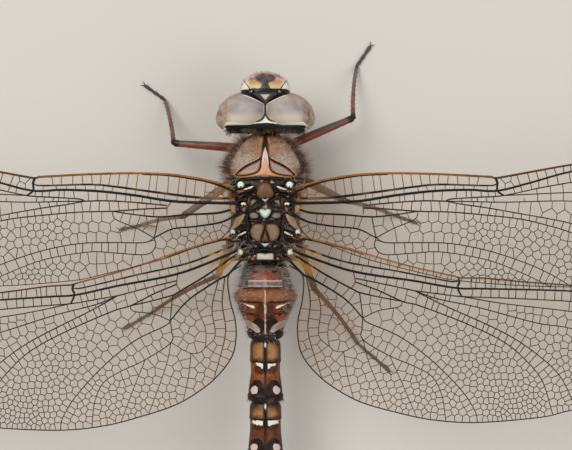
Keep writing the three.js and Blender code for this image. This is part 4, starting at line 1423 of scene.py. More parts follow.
def eye_top(x, y):
    """The height of the right eye's upper side, taken at its edge where a place lies outside it."""
    turn = np.array(Euler((0, -EYE_LEAN, -EYE_TURN)).to_matrix())
    shrink = turn.T / np.array(EYE_RADII)[:, None]
    flat = np.stack([np.abs(x), y, np.zeros_like(y)]) - np.array(EYE_CENTRE)[:, None]
    start, rise = shrink @ flat, shrink[:, 2]
    along = rise @ start
    reach = rise @ rise
    return (np.sqrt(np.maximum(along**2 - reach * ((start**2).sum(0) - 1), 0)) - along) / reach


def on_eye(sign, places):
    """Points on an eye's upper side, from places across and along on the right one."""
    x, y = np.array(places).T
    return np.column_stack([sign * x, y, eye_top(x, y)])


def eye_finish():
    """Grey-lilac, brown and mottled outside, with a gold front rim and a cream line behind."""
    f = Finish("Eye", Roughness=0.36, Coat_Weight=0.14, Coat_Roughness=0.3)
    x, y, z = f.axes()
    wide = x.size()
    cloud = f.noise(0.55, 3.0, distortion=0.6)
    patches = f.noise(1.5, 4.0, distortion=0.4)
    f.colour = f.blend(cloud, 0.3, 0.7, "#968a86", "#b5a79a")
    shine = f.spot(wide, y, (1.9, 28.25), (1.4, 1.1), 0.8)
    f.paint(shine * 0.35, "#a08f92")
    blue = f.spot(wide, y + cloud, (3.0, 28.55), (0.9, 0.75), 0.7)
    f.paint(blue * 0.3, "#84858f")
    f.paint(f.step(y, 28.1, 26.9) * 0.95, "#dccfb9")
    outer = f.step(wide, 3.3, 4.6)
    brown = f.blend(patches, 0.36, 0.68, "#a8937a", "#6f4d33")
    f.paint(outer * 0.9, brown)
    front = f.step(y + wide * 0.28, 30.1, 30.5) * f.step(z, 6.0, 8.0)
    f.paint(front * 0.55, "#8d6a45")
    f.paint(f.step(z, 8.6, 6.4) * 0.8, "#9a8c70")
    # The eye's front edge: before this line it is the dark skin of the vertex.
    fore = f.step(y - wide * 0.43, 28.66, 28.72) * f.step(wide, 2.7, 2.5) * f.step(z, 8.8, 9.3)
    seam = f.step(wide, 0.22, 0.16) * f.step(z, 8.0, 10.0)
    f.paint(seam * 0.85, "#e6dcc6")
    line = y - eye_rear(wide, f.step) - f.step(wide, 2.2, 4.3) * 0.14
    behind = f.step(line, 0.2, 0.15) * f.step(wide, 4.9, 4.7) * f.step(z, 9.3, 10.1)
    f.paint(behind, "#f1f1d8")
    f.paint(fore, "#1d181a")
    coords = f.place()
    facets = f.node(
        "ShaderNodeTexVoronoi", {"Vector": coords, "Scale": 14.0}, feature="DISTANCE_TO_EDGE"
    )
    return f.set(Base_Color=f.colour, Normal=f.bump(f.step(facets, 0.0, 0.2), 0.18, 0.02))


def face_finish():
    """The forehead: a black T on yellow, purple-red in front, cream at the sides, and a pale face."""
    f = Finish("Face", Roughness=0.4, Coat_Weight=0.15)
    x, y, z = f.axes()
    wide = x.size()
    wave = f.noise(1.8, 4.0) * 0.5 - 0.25
    yellow = f.blend(y + wave, 30.5, 31.1, "#cdb482", "#b08c55")
    yellow = f.blend(wide + wave, 1.55, 1.95, yellow, "#e3dccb")
    front = y + wide * wide * 0.09 + wave
    purple = f.blend(wave, -0.06, 0.08, "#cc9f86", "#85605d")
    purple = f.mix(f.step(wide, 1.5, 2.1) * 0.8, purple, "#d8c3b2")
    f.colour = f.blend(front, 31.22, 31.4, yellow, purple)
    cap = f.spot(x, y + wave * 1.4, (0.0, 31.44), (1.14, 0.52), 0.4)
    stem_half = f.step(y, 30.4, 30.9) * -0.13 + 0.5 + wave * 0.3
    stem = f.step(wide - stem_half, 0.05, -0.05) * f.band(y, 30.0, 31.6, 0.1)
    f.paint(cap.most(stem), f.blend(wave, -0.1, 0.1, "#352f2e", "#5f5350"))
    f.paint(f.step(y + wide * wide * 0.025 + wave * 0.7, 30.47, 30.33), "#0f0c0c")
    # Below the forehead's edge the face is olive-brown, then a greyer lip with brown seams.
    wall = f.blend(wave, -0.1, 0.12, "#8c7d4f", "#6e5c3c")
    wall = f.blend(wide, 1.6, 2.4, wall, "#a59a70")
    lip = f.blend(wave, -0.1, 0.1, "#8f8b66", "#7a7250")
    lip = f.mix(f.step(z, 7.25, 7.0) * 0.8, lip, "#3f2e1c")
    low = f.mix(f.attribute("lip"), wall, lip)
    f.paint(f.step(z, 9.9, 9.3), low)
    pits = f.noise(7.0, 2.0)
    return f.set(Base_Color=f.colour, Normal=f.bump(pits, 0.5, 0.05))


def jaws_finish():
    """Brown upper lip with a dark edge, yellowish jaws beside it and a brown lower lip."""
    f = Finish("Jaws", Roughness=0.45)
    part = f.attribute("part")
    _, _, z = f.axes()
    wave = f.noise(1.8, 3.0)
    upper = f.blend(wave, 0.4, 0.6, "#85643c", "#6b4c2c")
    upper = f.blend(z, 6.2, 5.95, upper, "#2c1c12")
    jaw = f.blend(z, 6.6, 5.7, "#9c8b5c", "#33241a")
    lower = f.blend(wave, 0.35, 0.65, "#5e452e", "#7c6444")
    f.colour = f.blend(part, 0.4, 0.6, upper, jaw)
    f.paint(f.step(part, 1.4, 1.6), lower)
    return f.set(Base_Color=f.colour, Normal=f.bump(wave, 0.4, 0.05))


def vertex_finish():
    """The knob between the eyes: blue-black with a pale wedge."""
    f = Finish("Vertex", Roughness=0.4)
    x, y, _ = f.axes()
    rise = (y - 29.1) / 0.55
    inside = f.step(x.size() - rise * 0.46, 0.08, -0.06) * f.step(y, 29.05, 29.2) * f.step(y, 29.76, 29.62)
    f.colour = f.mix(f.noise(3.0, 2.0), "#4c444c", "#2c272c")
    return f.set(Base_Color=f.mix(inside, f.colour, "#bcae8c"), Normal=f.bump(f.noise(4.0, 3.0), 0.5, 0.08))


def make_eyes():
    """The two big eyes."""
    eyes = eye_finish()
    for side in SIDES:
        Gather().add(eye_shape(side)).piece(f"eye_{side}_ball", eyes, "eye", [f"eye_{side}"])


def make_face():
    """Forehead and lip as one skin, the jaws below and the bristles on both."""
    forehead = ellipsoid((0, 30.0, 9.65), (2.62, 2.18, 1.8), 40, 64, 2.12)
    lip = ellipsoid((0, 29.9, 7.7), (2.25, 1.95, 0.95), 24, 64, 2.4)
    face = Gather().add(forehead, lip=0.0).add(lip, lip=1.0)
    face.piece("face_skin", face_finish(), "face", ["face"])
    jaws = Gather()
    jaws.add(ellipsoid((0, 29.65, 6.5), (1.95, 1.75, 0.8), 20, 48, 2.4), part=0.0)
    jaws.add(ellipsoid((0, 28.6, 5.5), (1.6, 1.5, 0.65), 16, 40, 2.3), part=2.0)
    for sign in SIDES.values():
        jaws.add(ellipsoid((sign * 1.62, 28.95, 6.3), (0.55, 1.3, 1.0), 16, 28), part=1.0)
    jaws.piece("jaws", jaws_finish(), "face", ["mouthparts"])
    beard = hair_finish("Hair face", "#1c1511", "#5c4a38", 0.6)
    for name, shape, rows, around, count in (
        ("forehead_hair", forehead, 40, 64, 300), ("lip_hair", lip, 24, 64, 160),
    ):
        grid = shape[0][:-2].reshape(rows, around, 3)
        field = Field(grid, lambda x, y, z, nx, ny, nz: (ny > 0.1) * (z < 9.9), 12)
        grow(name, beard, "face", field, count, (0, 0, 0.2, -0.8), 0.3, 0.009)


def make_vertex():
    """The swollen plate between the eyes, in front of their seam."""
    outline = [(0, 29.95), (0.6, 29.95), (1.3, 29.85), (1.0, 29.4), (0.45, 28.95), (0, 28.68)]
    shape, _ = plate(whole_outline(outline), lambda x, y: 11.3 + 0 * x, 0.55, 0.5, sink=1.4)
    Gather().add(shape).piece("vertex_skin", vertex_finish(), "head_shell", ["crown"])


def make_capsule():
    """The back of the head behind the eyes, with its small white plate. Gives the capsule's rings."""
    rows = np.linspace(0, 1, 24)
    y = 26.9 - 1.2 * rows
    half = 4.3 * (1 - 0.12 * rows**4)
    up = 1.95 + 0.5 * soft_step(y, 26.88, 26.62) - 0.6 * rows**3
    down = 3.0 * (1 - 0.25 * rows**2)
    rings = loft(y, np.full(24, 8.7), half, up, down, 96, 2.2)
    f = Finish("Head shell", Roughness=0.5, Coat_Weight=0.1)
    _, _, z = f.axes()
    dark = f.mix(f.noise(2.5, 3.0), "#080706", "#1c1410")
    f.set(Base_Color=f.blend(z, 8.5, 7.0, dark, "#6a5238"))
    Gather().add(wrap(rings)).piece("head_capsule", f, "head_shell", ["head"])

    white = plate_finish("Back of head plate", "#dfe6ea", "#e9ecdf", "#d8d2b8", 0.05)
    outline = [
        (0, 27.62), (0.1, 27.36), (0.32, 27.04), (0.68, 26.84), (1.3, 26.7), (1.25, 26.58), (0.6, 26.62),
        (0, 26.65),
    ]

    def slope(x, y):
        return 10.62 + 0.42 * (27.5 - y) + 0.06 * x * x

    shape, edge = plate(whole_outline(outline), slope, 0.16, 0.25, sink=0.8)
    Gather().add(shape, edge=edge).piece("head_triangle", white, "head_shell")
    return rings


def make_eye_lines():
    """The black seam where the eyes meet, forked behind, and the cream rims in front."""
    lines = Gather()
    seam = on_eye(1, [(0.06, 28.85), (0.06, 28.5), (0.06, 28.1), (0.06, 27.7)]) * (0, 1, 1)
    lines.add(wrap(tube(spline(seam, 0.1), 0.1, 8)))
    rims = Gather()
    for sign in SIDES.values():
        fork = on_eye(sign, [(0.04, 27.85), (0.2, 27.45), (0.5, 27.08), (1.0, 26.85)])
        lines.add(wrap(tube(spline(fork, 0.1), 0.06, 8)))
        places = [(2.3, 29.62), (1.9, 29.5), (1.5, 29.33), (1.1, 29.14), (0.6, 28.9), (0.12, 28.66)]
        rims.add(wrap(tube(spline(on_eye(sign, places), 0.1), 0.055, 8)))
    black = Finish("Black seam", Roughness=0.35, Base_Color="#0d0b0a")
    lines.piece("head_seams", black, "head_shell")
    cream = Finish("Eye rim", Roughness=0.45, Base_Color="#dccfb4")
    rims.piece("eye_rims", cream, "head_shell")


def make_feelers():
    """Short feelers: two thick joints, a pale ring and a bristle."""
    f = Finish("Feeler", Roughness=0.4)
    pale = f.band(f.attribute("share"), 0.1, 0.17, 0.02)
    f.set(Base_Color=f.mix(pale, "#1a1413", "#cfc4b4"))
    for side, sign in SIDES.items():
        path = spline(
            [(sign * 1.47, 29.95, 11.2), (sign * 1.6, 30.2, 11.8), (sign * 1.9, 30.65, 12.6),
             (sign * 2.32, 31.15, 13.5)], 0.1,
        )
        part = path_shares(path)
        thick = np.interp(part, [0, 0.1, 0.16, 0.3, 1], [0.14, 0.15, 0.1, 0.06, 0.03])
        shape = Gather().add(wrap(tube(path, thick, 10)), share=rim_values(part, 10))
        shape.piece(f"feeler_{side}", f, "feeler", [f"antenna_{side}"])


def make_head():
    """The head's parts, and the bristles on the back of it."""
    make_eyes()
    make_face()
    make_vertex()
    rings = make_capsule()
    make_eye_lines()
    make_feelers()
    bristle = hair_finish("Hair head", "#1c140f", "#a08a70", 0.56)
    field = Field(rings, lambda x, y, z, nx, ny, nz: (y < 26.2) * (nz > -0.6) * (0.4 + (nz > 0.2)), 8)
    grow("head_hair", bristle, "head_shell", field, 700, (0, 0.1, -0.9, 0.25), 0.5, 0.015)


# ---- Abdomen -------------------------------------------------------------------------------
ABDOMEN_START = (11.96, 9.7)
ABDOMEN_DROP = 0.085
# A ring: length, half widths at the front, middle and rear, depth over width, and where its front lobe
# ends as a share of the length.
RINGS = [
    (2.78, (2.05, 2.3, 2.65), 0.98, 0.5), (5.44, (2.9, 3.12, 1.9), 0.95, 0.27),
    (6.71, (1.64, 1.58, 1.82), 0.96, 0.375), (6.02, (1.7, 1.7, 1.85), 0.96, 0.32),
    (5.8, (1.7, 1.74, 1.88), 0.96, 0.31), (5.6, (1.76, 1.8, 1.9), 0.95, 0.31),
    (5.1, (1.78, 1.8, 1.86), 0.95, 0.31), (3.9, (1.74, 1.74, 1.76), 0.96, 0.31),
    (2.85, (1.64, 1.58, 1.52), 1.0, 0.3), (1.4, (1.42, 1.32, 1.17), 0.95, 0.5),
]
RING_SQUARE = 2.15
RING_GAP = 0.02  # half the gap between two rings
RING_OVERLAP = 0.12  # how far a ring's front edge sinks into the ring before
RING_AROUND, RING_ROWS = 72, 64
LAST_HAIRY_RING = 7  # counted from 0; the last ring with bristles on its hem


def ring_half(number, share):
    """A ring's half width along its length."""
    _, (front, middle, rear), _, lobe = RINGS[number]
    if number == 0:
        table = [
            (0, 0.9 * front), (0.12, 1.08 * front), (0.5, 1.1 * middle), (0.9, 1.08 * rear), (1, 1.1 * rear),
        ]
    elif number == 1:
        table = [
            (0, 0.88 * front), (0.05, 1.06 * front), (0.16, 1.08 * middle), (0.24, 1.06 * middle),
            (0.3, 0.99 * middle), (0.45, 0.89 * middle), (0.7, 1.12 * rear), (0.84, rear),
            (0.9, rear + 0.06), (0.97, rear), (1, 0.93 * rear),
        ]
    else:
        table = [
            (0, 0.8 * front), (0.035, 0.92 * front), (0.1, front), (0.8 * lobe, 1.01 * front),
            (lobe - 0.015, 1.035 * front), (lobe + 0.012, 0.97 * front), (0.55, 0.98 * middle),
            (0.8, 0.99 * rear), (0.885, rear), (0.905, rear + 0.1), (0.975, rear + 0.11), (1, rear + 0.02),
        ]
    return np.interp(share, *zip(*table))


def abdomen_axis(y):
    """The height of the abdomen's middle line, which sinks towards the tail."""
    return ABDOMEN_START[1] - ABDOMEN_DROP * (ABDOMEN_START[0] - y)


def ring_rings(number):
    """One ring of the abdomen as rings of points, and how far along it each of them is."""
    length, _, depth, lobe = RINGS[number]
    front = ABDOMEN_START[0] - sum(row[0] for row in RINGS[:number])
    share = np.linspace(0, 1, RING_ROWS)
    y = front - RING_GAP - share * (length - 2 * RING_GAP)
    y[0] += RING_OVERLAP
    half = ring_half(number, share)
    centre = abdomen_axis(y)
    rings = loft(y, centre, half, half * depth, half * depth * 1.04, RING_AROUND, RING_SQUARE)
    x, top = rings[:, :, 0], rings[:, :, 2] > centre[:, None]
    keel = 0.05 * np.exp(-((x / 0.1) ** 2)) * top
    fold = -0.06 * np.exp(-(((share[:, None] - lobe - 0.008) / 0.008) ** 2)) * top
    rings[:, :, 2] += keel + fold * (number > 1)
    # The rear rim reaches further back along the middle than at the sides.
    rim = soft_step(share, 0.72, 0.95)[:, None]
    bow = (1 - (x / half[:, None]) ** 2) * top * rim
    rings[:, :, 1] -= (0.3 * bow - 0.1 * rim) * (0 < number <= LAST_HAIRY_RING)
    rings[:, :, 1] -= 0.2 * bow * (number == 1)
    return rings, share


def ring_values(rings, share, number):
    """Point values for the marks: place along the ring and across it, facing, ring number and lobe."""
    rows, around, _ = rings.shape
    c, s = oval(around, RING_SQUARE)
    return {
        "share": rim_values(share, around),
        "side": np.concatenate([np.tile(c, rows), [0, 0]]),
        "lift": np.concatenate([np.tile(s, rows), [0, 0]]),
        "ring": float(number),
        "lobe": RINGS[number][3],
    }


def abdomen_finish():
    """Rings three to ten: golden front lobes, white corners, red-brown, and pale spots on black."""
    f = Finish(
        "Abdomen rings", Roughness=0.36, Specular_IOR_Level=0.14, Coat_Weight=0.08, Coat_Roughness=0.12
    )
    share, ring, lobe, lift = (f.attribute(label) for label in ("share", "ring", "lobe", "lift"))
    wide = f.attribute("side").size()
    mottle = f.noise(1.4, 4.0)
    share = share + (f.noise(2.4, 4.0, distortion=0.5) - 0.5) * 0.065
    late = f.step(ring, 2.0, 3.0)
    tail = f.step(ring, 4.5, 8.5)
    gold = f.blend(mottle, 0.3, 0.75, "#aa7a50", "#8a5d38")
    rust = f.blend(mottle, 0.35, 0.7, "#95501f", "#5f2d13")
    rust = f.mix(f.step(ring, 2.0, 3.6) * 0.85, rust, "#4a2012")
    dark = f.mix(mottle, "#0e0a08", "#241610")
    f.colour = f.mix(f.step(share, 0.5, 0.66) * 0.25, rust, "#4a2416")
    panel = f.step(wide, 0.07, 0.24) * f.step(wide, 0.97, 0.6)
    panel = panel * f.step(share - wide * wide * 0.1, late * 0.04 - 0.02, late * 0.1 + 0.11)
    panel = panel * f.step(share - lobe + wide * wide * 0.03, -0.002, -0.1)
    lobe_area = f.step(share - lobe, 0.005, -0.005)
    f.paint(lobe_area, f.mix(panel, "#3f2316", gold))
    # White corners just behind the fold, narrowing towards the side on ring three.
    low_edge = lobe + 0.1 - (wide - 0.2).most(0.0) * (0.15 - late * 0.11) + (f.noise(3.4, 3.0) - 0.5) * 0.11
    corner = f.step(share - lobe, 0.012, 0.02) * f.step(share - low_edge, 0.008, -0.008)
    corner = corner * f.band(wide, 0.16, 0.84, 0.03) * f.step(tail, 1.0, 0.7)
    shade = f.spot(wide, share, (0.42, lobe + 0.12), (0.4, 0.07), 0.7) * 0.75
    f.paint(shade, dark)
    f.paint(corner, "#e5dcd0")
    arch = f.spot(wide, share, (0.52, 0.84), (0.47, 0.185), 0.12)
    arch = arch.most(f.step(wide - (share - 0.72) * 1.9, 0.03, -0.03) * f.step(share, 0.7, 0.74))
    # Darker at the outer sides: partly the black of the arches running on, partly painted shade on the
    # rounded sides.
    edge_dark_and_shade = f.step(wide, 0.86, 0.95) * f.step(share - lobe, 0.05, 0.2)
    f.paint(arch.most(edge_dark_and_shade * 0.8), dark)
    slant = share - (wide - 0.66) * 0.05
    spots = f.spot(wide, slant, (0.66, 0.815), (0.21, 0.06), 0.2)
    f.paint(spots, f.mix(tail, "#d2b8ab", "#a08470"))
    f.paint(f.band(share - lobe, -0.008, 0.012, 0.005), "#15100d")
    swell = f.step(share - lobe, 0.2, 0.08) * f.step(share - lobe, 0.0, 0.02) * 0.09
    keel = f.step(wide - swell, 0.09, 0.05)
    keel_colour = f.mix(f.band(share, 0.62, 0.84, 0.05), "#1b1210", "#3c1f17")
    f.paint(keel, keel_colour)
    streak = f.step(wide, 0.07, 0.04) * f.step(share, 0.15, 0.1)
    f.paint(streak * f.step(tail, 0.9, 0.5), "#e3d9cc")
    f.paint(f.step(share, 0.875, 0.89), dark)
    f.paint(tail * 0.6, dark)
    under = f.step(lift, -0.05, -0.25)
    belly = f.mix(f.band(wide, 0.0, 0.45, 0.1), "#7a5a3c", "#3a2a1e")
    f.paint(under, belly)
    fine = f.noise(8.0, 2.0, stretch=(1.0, 0.3, 1.0))
    rough = fine + f.noise(3.0, 4.0) * 2.0 + f.step(share, 0.86, 0.89) * f.noise(5.5, 2.0) * 2.5
    return f.set(Base_Color=f.colour, Normal=f.bump(rough, 0.5, 0.06))


def second_ring_finish():
    """Ring two: white wedges, a white mid line, pinkish ovals and a black rear edge."""
    f = Finish("Abdomen ring two", Roughness=0.42, Specular_IOR_Level=0.16, Coat_Weight=0.08)
    share, lift = f.attribute("share"), f.attribute("lift")
    x, _, _ = f.axes()
    wide = x.size()
    mottle = f.noise(1.5, 4.0)
    share = share + (mottle - 0.5) * 0.04
    rust = f.blend(mottle, 0.3, 0.7, "#a2562a", "#6f381c")
    dark = f.mix(mottle, "#0e0a08", "#2a1a12")
    front = f.blend(mottle, 0.3, 0.7, "#935d3c", "#73442a")
    f.colour = f.blend(share, 0.25, 0.27, front, rust)
    wander = (f.noise(2.4, 4.0, distortion=1.0) - 0.5) * 0.24
    torn = share + wander
    line = f.band(share + wide * 0.01, 0.265, 0.31, 0.02) * f.step(wide, 0.2, 0.4)
    murk = f.step(f.noise(2.6, 4.0, distortion=0.6), 0.47, 0.6) * f.band(share, 0.3, 0.62, 0.04)
    beside = f.spot(wide + wander * 3.0, torn, (0.46, 0.4), (0.5, 0.115), 0.6) * 0.8
    arc = f.spot(wide + wander * 2.0, torn, (0.72, 0.73), (0.7, 0.18), 0.4)
    arc = arc.most(f.band(torn + wide * 0.03, 0.53, 0.58, 0.015) * f.step(wide, 0.4, 0.6))
    arc = arc.most(f.step(torn + wide * 0.03, 0.8, 0.85) * f.step(wide, 0.2, 0.5))
    flank = f.step(wide, 2.15, 2.45) * f.step(share, 0.27, 0.32) * f.step(share, 0.75, 0.6)
    f.paint(line.most(beside).most(arc).most(flank * 0.8).most(murk * 0.8), dark)
    middle = share - 0.385 + (wide - 1.05) * 0.065
    tall = ((wide - 2.4) * -0.026).most(0.0)
    tall = tall * f.step(wide, 1.0, 1.35)
    wedge = f.step(middle.size() + wander * 0.05 - tall, 0.005, -0.005) * f.step(wide, 1.08, 1.16)
    f.paint(wedge, "#e6ded0")
    ovals = f.spot(wide, share + (wide - 1.5) * 0.085, (1.5, 0.735), (0.95, 0.07), 0.15)
    pale = ovals.most(f.spot(wide, share, (3.15, 0.36), (0.35, 0.09), 0.4) * 0.7)
    f.paint(pale, f.blend(mottle, 0.35, 0.65, "#b89d94", "#937870"))
    rear = f.step(share + wide * 0.012, 0.85, 0.87)
    f.paint(rear, dark)
    swell = f.band(share, 0.3, 0.5, 0.03) * 0.06 + 0.055
    mid_line = f.step(wide - swell + wander * 0.4, 0.03, -0.03) * f.band(share, 0.03, 0.86, 0.02)
    broken = f.step(f.noise(3.4, 3.0), 0.36, 0.5) * 0.55 + 0.3
    f.paint(mid_line * broken, "#cbbfb4")
    f.paint(f.step(lift, -0.1, -0.3), "#5f4836")
    return f.set(Base_Color=f.colour, Normal=f.bump(f.noise(8.0, 2.0), 0.35, 0.04))


def first_ring_finish():
    """Ring one: red-brown with two dark ovals, a pinkish band at the rear and painted shade along its front.
    """
    f = Finish("Abdomen ring one", Roughness=0.5, Coat_Weight=0.08)
    share, lift = f.attribute("share"), f.attribute("lift")
    x, _, _ = f.axes()
    wide = x.size()
    mottle = f.noise(1.6, 4.0)
    flank = f.blend(mottle, 0.35, 0.7, "#3f362f", "#6d6056")
    rust = f.blend(share, 0.25, 0.6, "#5c382b", "#85452a")
    rust = f.mix(f.step(mottle, 0.42, 0.68) * 0.7, rust, "#4a2619")
    torn = (f.noise(3.0, 4.0) - 0.5) * 1.1
    f.colour = f.blend(wide + torn, 1.25, 1.75, rust, flank)
    # Painted shade: the front of the ring, in the gap where it meets the thorax, is laid on near-black.
    f.paint(f.step(share + torn * 0.1, 0.26, 0.14), "#1c1512")
    f.paint(f.spot(wide, share, (0.99, 0.38), (0.3, 0.055), 0.2), "#15100e")
    pinkish = f.blend(mottle, 0.3, 0.7, "#7f6a66", "#574542")
    hem = f.band(share + torn * 0.03, 0.755, 0.915, 0.025)
    pinkish = f.mix(hem, "#b0a09a", pinkish)
    band = f.band(share + torn * 0.07, 0.7, 0.95, 0.015) * f.step(wide + torn * 0.3, 1.86, 1.74)
    f.paint(band, pinkish)
    mid = f.step(wide, 0.3, 0.05) * f.step(share, 0.45, 0.8)
    f.paint(mid * 0.5, "#b09a96")
    f.paint(f.band(share, 0.955, 0.985, 0.008) * f.step(wide, 1.95, 1.85), "#120d0c")
    f.paint(f.step(lift, -0.1, -0.3), "#5f4a3a")
    return f.set(Base_Color=f.colour, Normal=f.bump(f.noise(7.0, 3.0), 0.4, 0.05))


def grow_flanks(number, rings, hair):
    """The soft hair on the sides and front of the first two rings."""
    count, long = ((420, 0.75), (620, 0.55))[number]

    def flanks(x, y, z, nx, ny, nz):
        rim = (np.abs(x) > (1.5 if number == 0 else 1.9)) * 1.0
        front = (y > 8.0) * 0.4 + (y < 5.25) * 0.35 if number == 1 else 0.25
        return (nz > -0.4) * (rim + front)

    field, lean = Field(rings, flanks, 20 + number), (0.5, 0, -0.45, 0.15)
    grow(f"abdomen_hair_{number + 1}", hair, "abdomen", field, count, lean, long, 0.015, stray=0.3)


def grow_hem(number, rings, hair, slot):
    """The short bristles along a ring's rear edge."""
    hem = rings[..., 1].min() + 0.5
    field = Field(rings, lambda x, y, z, nx, ny, nz: (y < hem) * (nz > -0.5), 30 + number)
    lean = (0.25, 0, -1.0, 0.15)
    grow(f"hem_bristles_{number + 1}", hair, slot, field, 130, lean, 0.34, 0.013, stray=0.3)


def make_tail():
    """The plates that close the last ring and the two blades beside them."""
    tail = Finish("Tail", Roughness=0.42, Coat_Weight=0.1)
    tail.set(Base_Color=tail.mix(tail.noise(1.5, 3.0), "#1f1612", "#4a3022"))
    axis = abdomen_axis(-33.6)
    plates = Gather().add(ellipsoid((0, -33.5, axis + 0.28), (0.5, 0.75, 0.42), 16, 28, 2.2))
    for sign in SIDES.values():
        plates.add(ellipsoid((sign * 0.44, -33.45, axis - 0.38), (0.45, 0.55, 0.5), 16, 28, 2.2))
    plates.piece("tail_plates", tail, "tail")
    axis = abdomen_axis(-33.68)
    for side, sign in SIDES.items():
        rows = np.linspace(0, 1, 26)
        path = np.column_stack([
            sign * (0.62 + 0.12 * rows), -33.5 - 2.45 * rows, axis + 0.2 - 0.1 * rows,
        ])
        rings = tube(path, np.interp(rows, [0, 0.1, 0.5, 0.85, 1], [0.12, 0.17, 0.36, 0.28, 0.06]), 16)
        rings[:, :, 2] = path[:, 2:] + (rings[:, :, 2] - path[:, 2:]) * 0.45  # flattened to a blade
        Gather().add(wrap(rings)).piece(f"cercus_{side}_leaf", tail, "tail", [f"cercus_{side}"])


def make_abdomen():
    """The ten rings with their hair, and the tail."""
    finishes = [first_ring_finish(), second_ring_finish()]
    finishes += [abdomen_finish()] * (len(RINGS) - 2)
    pale = hair_finish("Hair abdomen", "#a89c90", "#dcd2c6")
    bristle = hair_finish("Hair hem", "#3a322c", "#a0968a")
    for number, finish in enumerate(finishes):
        slot = "abdomen" if number < LAST_HAIRY_RING else "tail"
        rings, share = ring_rings(number)
        shape = Gather().add(wrap(rings), **ring_values(rings, share, number))
        shape.piece(f"abdomen_ring_{number + 1}", finish, slot, [f"abdomen_{number + 1}"])
        if number < 2:
            grow_flanks(number, rings, pale)
        elif number <= LAST_HAIRY_RING:
            grow_hem(number, rings, bristle, slot)
    make_tail()


# ---- Legs ----------------------------------------------------------------------------------
FOOT_AXIS = 0.2  # the height of a foot's middle line
# A leg: hip and knee, then where its ankle and toe stand on the floor.
LEGS = {
    "fore_left": ((-1.5, 24.1, 4.9), (-10.0, 24.75, 4.6), (-11.2, 29.7), (-13.65, 31.45)),
    "fore_right": ((1.5, 24.1, 4.9), (9.5, 27.5, 4.2), (10.0, 33.4), (11.7, 35.86)),
    "middle_left": ((-1.75, 21.9, 4.0), (-9.0, 16.8, 5.2), (-13.8, 15.85), (-16.35, 15.3)),
    "middle_right": ((1.75, 21.9, 4.0), (8.7, 18.45, 5.2), (14.1, 16.95), (16.9, 16.0)),
    "hind_left": ((-1.75, 19.2, 4.0), (-5.15, 10.4, 5.4), (-12.5, 6.25), (-16.0, 4.2)),
    "hind_right": ((1.75, 19.2, 4.0), (5.3, 8.9, 5.4), (10.15, 2.75), (14.1, -0.7)),
}


def thigh_finish():
    """Red-brown, dark grey along the upper side and black at the knee."""
    f = Finish("Thigh", Roughness=0.38, Coat_Weight=0.2)
    share, lift = f.attribute("share"), f.attribute("lift")
    _, y, _ = f.axes()
    later = f.step(y, 23.5, 22.0)
    streak = f.noise(1.2, 3.0)
    red = f.blend(streak, 0.3, 0.7, "#8f4324", "#6a2f19")
    grey = f.mix(streak, "#453734", "#6e5b56")
    upper = f.step(lift + (streak - 0.5) * 0.4 + share * 0.9 + later * 0.7, 0.75, 1.3)
    upper = upper * f.step(share, 0.15, 0.5).most(later)
    f.colour = f.mix(upper, red, grey)
    hind = f.step(y, 18.0, 15.0)
    f.paint(hind * f.step(share, 0.45, 0.7), "#2a2526")
    f.paint(f.step(share, 0.9, 0.95), "#17110f")
    return f.set(Base_Color=f.colour, Normal=f.bump(f.noise(7.0, 2.0), 0.3, 0.03))


def shin_finish():
    """Brown and grey, redder on the hind legs, and black at both ends."""
    f = Finish("Shin", Roughness=0.4, Coat_Weight=0.15)
    share = f.attribute("share")
    streak = f.noise(1.5, 3.0)
    f.colour = f.blend(streak, 0.3, 0.7, "#80594e", "#5f433b")
    f.paint(f.step(share, 0.25, 0.9) * 0.8, "#6c5d5d")
    _, y, _ = f.axes()
    hind = f.step(y, 14.0, 12.0)
    f.paint(hind, f.blend(streak, 0.35, 0.65, "#6b3122", "#3f1c14"))
    f.paint(hind * f.step(share, 0.3, 0.08), "#221a19")
    f.paint(f.step(share, 0.08, 0.03).most(f.step(share, 0.93, 0.98)), "#1f1613")
    return f.set(Base_Color=f.colour)


def make_thigh(name, hip, knee, finish, chance):
    """The thick upper part, arched a little, with a joint at the hip."""
    bulge = np.array([0, 0, 0.35])
    path = spline([hip, hip * 0.7 + knee * 0.3 + bulge, hip * 0.35 + knee * 0.65 + bulge, knee], 0.2)
    part = path_shares(path)
    stops = [0, 0.08, 0.12, 0.3, 0.7, 0.92, 0.97, 1]
    thick = np.interp(part, stops, [0.55, 0.58, 0.5, 0.5, 0.42, 0.36, 0.4, 0.3])
    rings = tube(path, thick, 20)
    facing = ring_facing(rings, path, (0, 0.85, 0.5))
    shape = Gather().add(wrap(rings), share=rim_values(part, 20), lift=facing)
    shape.add(spines(chance, path, thick, 16, 0.35, 0.03), share=1.0, lift=0.0)
    shape.piece(f"{name}_thigh", finish, "leg", [f"leg_{name}_femur"])


def make_shin(name, knee, ankle, finish, chance):
    """The thin lower part, bowed a little sideways, with long spines."""
    bend = np.cross(ankle - knee, (0, 0, 1.0))
    bend *= -np.sign(knee[0]) * 0.025
    path = spline([knee, knee * 0.66 + ankle * 0.34 + bend, knee * 0.3 + ankle * 0.7 + bend, ankle], 0.2)
    part = path_shares(path)
    thick = np.interp(part, [0, 0.05, 0.15, 0.6, 0.95, 1], [0.3, 0.28, 0.24, 0.21, 0.2, 0.15])
    shape = Gather().add(wrap(tube(path, thick, 14)), share=rim_values(part, 14))
    shape.add(spines(chance, path, thick, 20, 0.5, 0.022), share=1.0)
    shape.piece(f"{name}_shin", finish, "leg", [f"leg_{name}_tibia"])


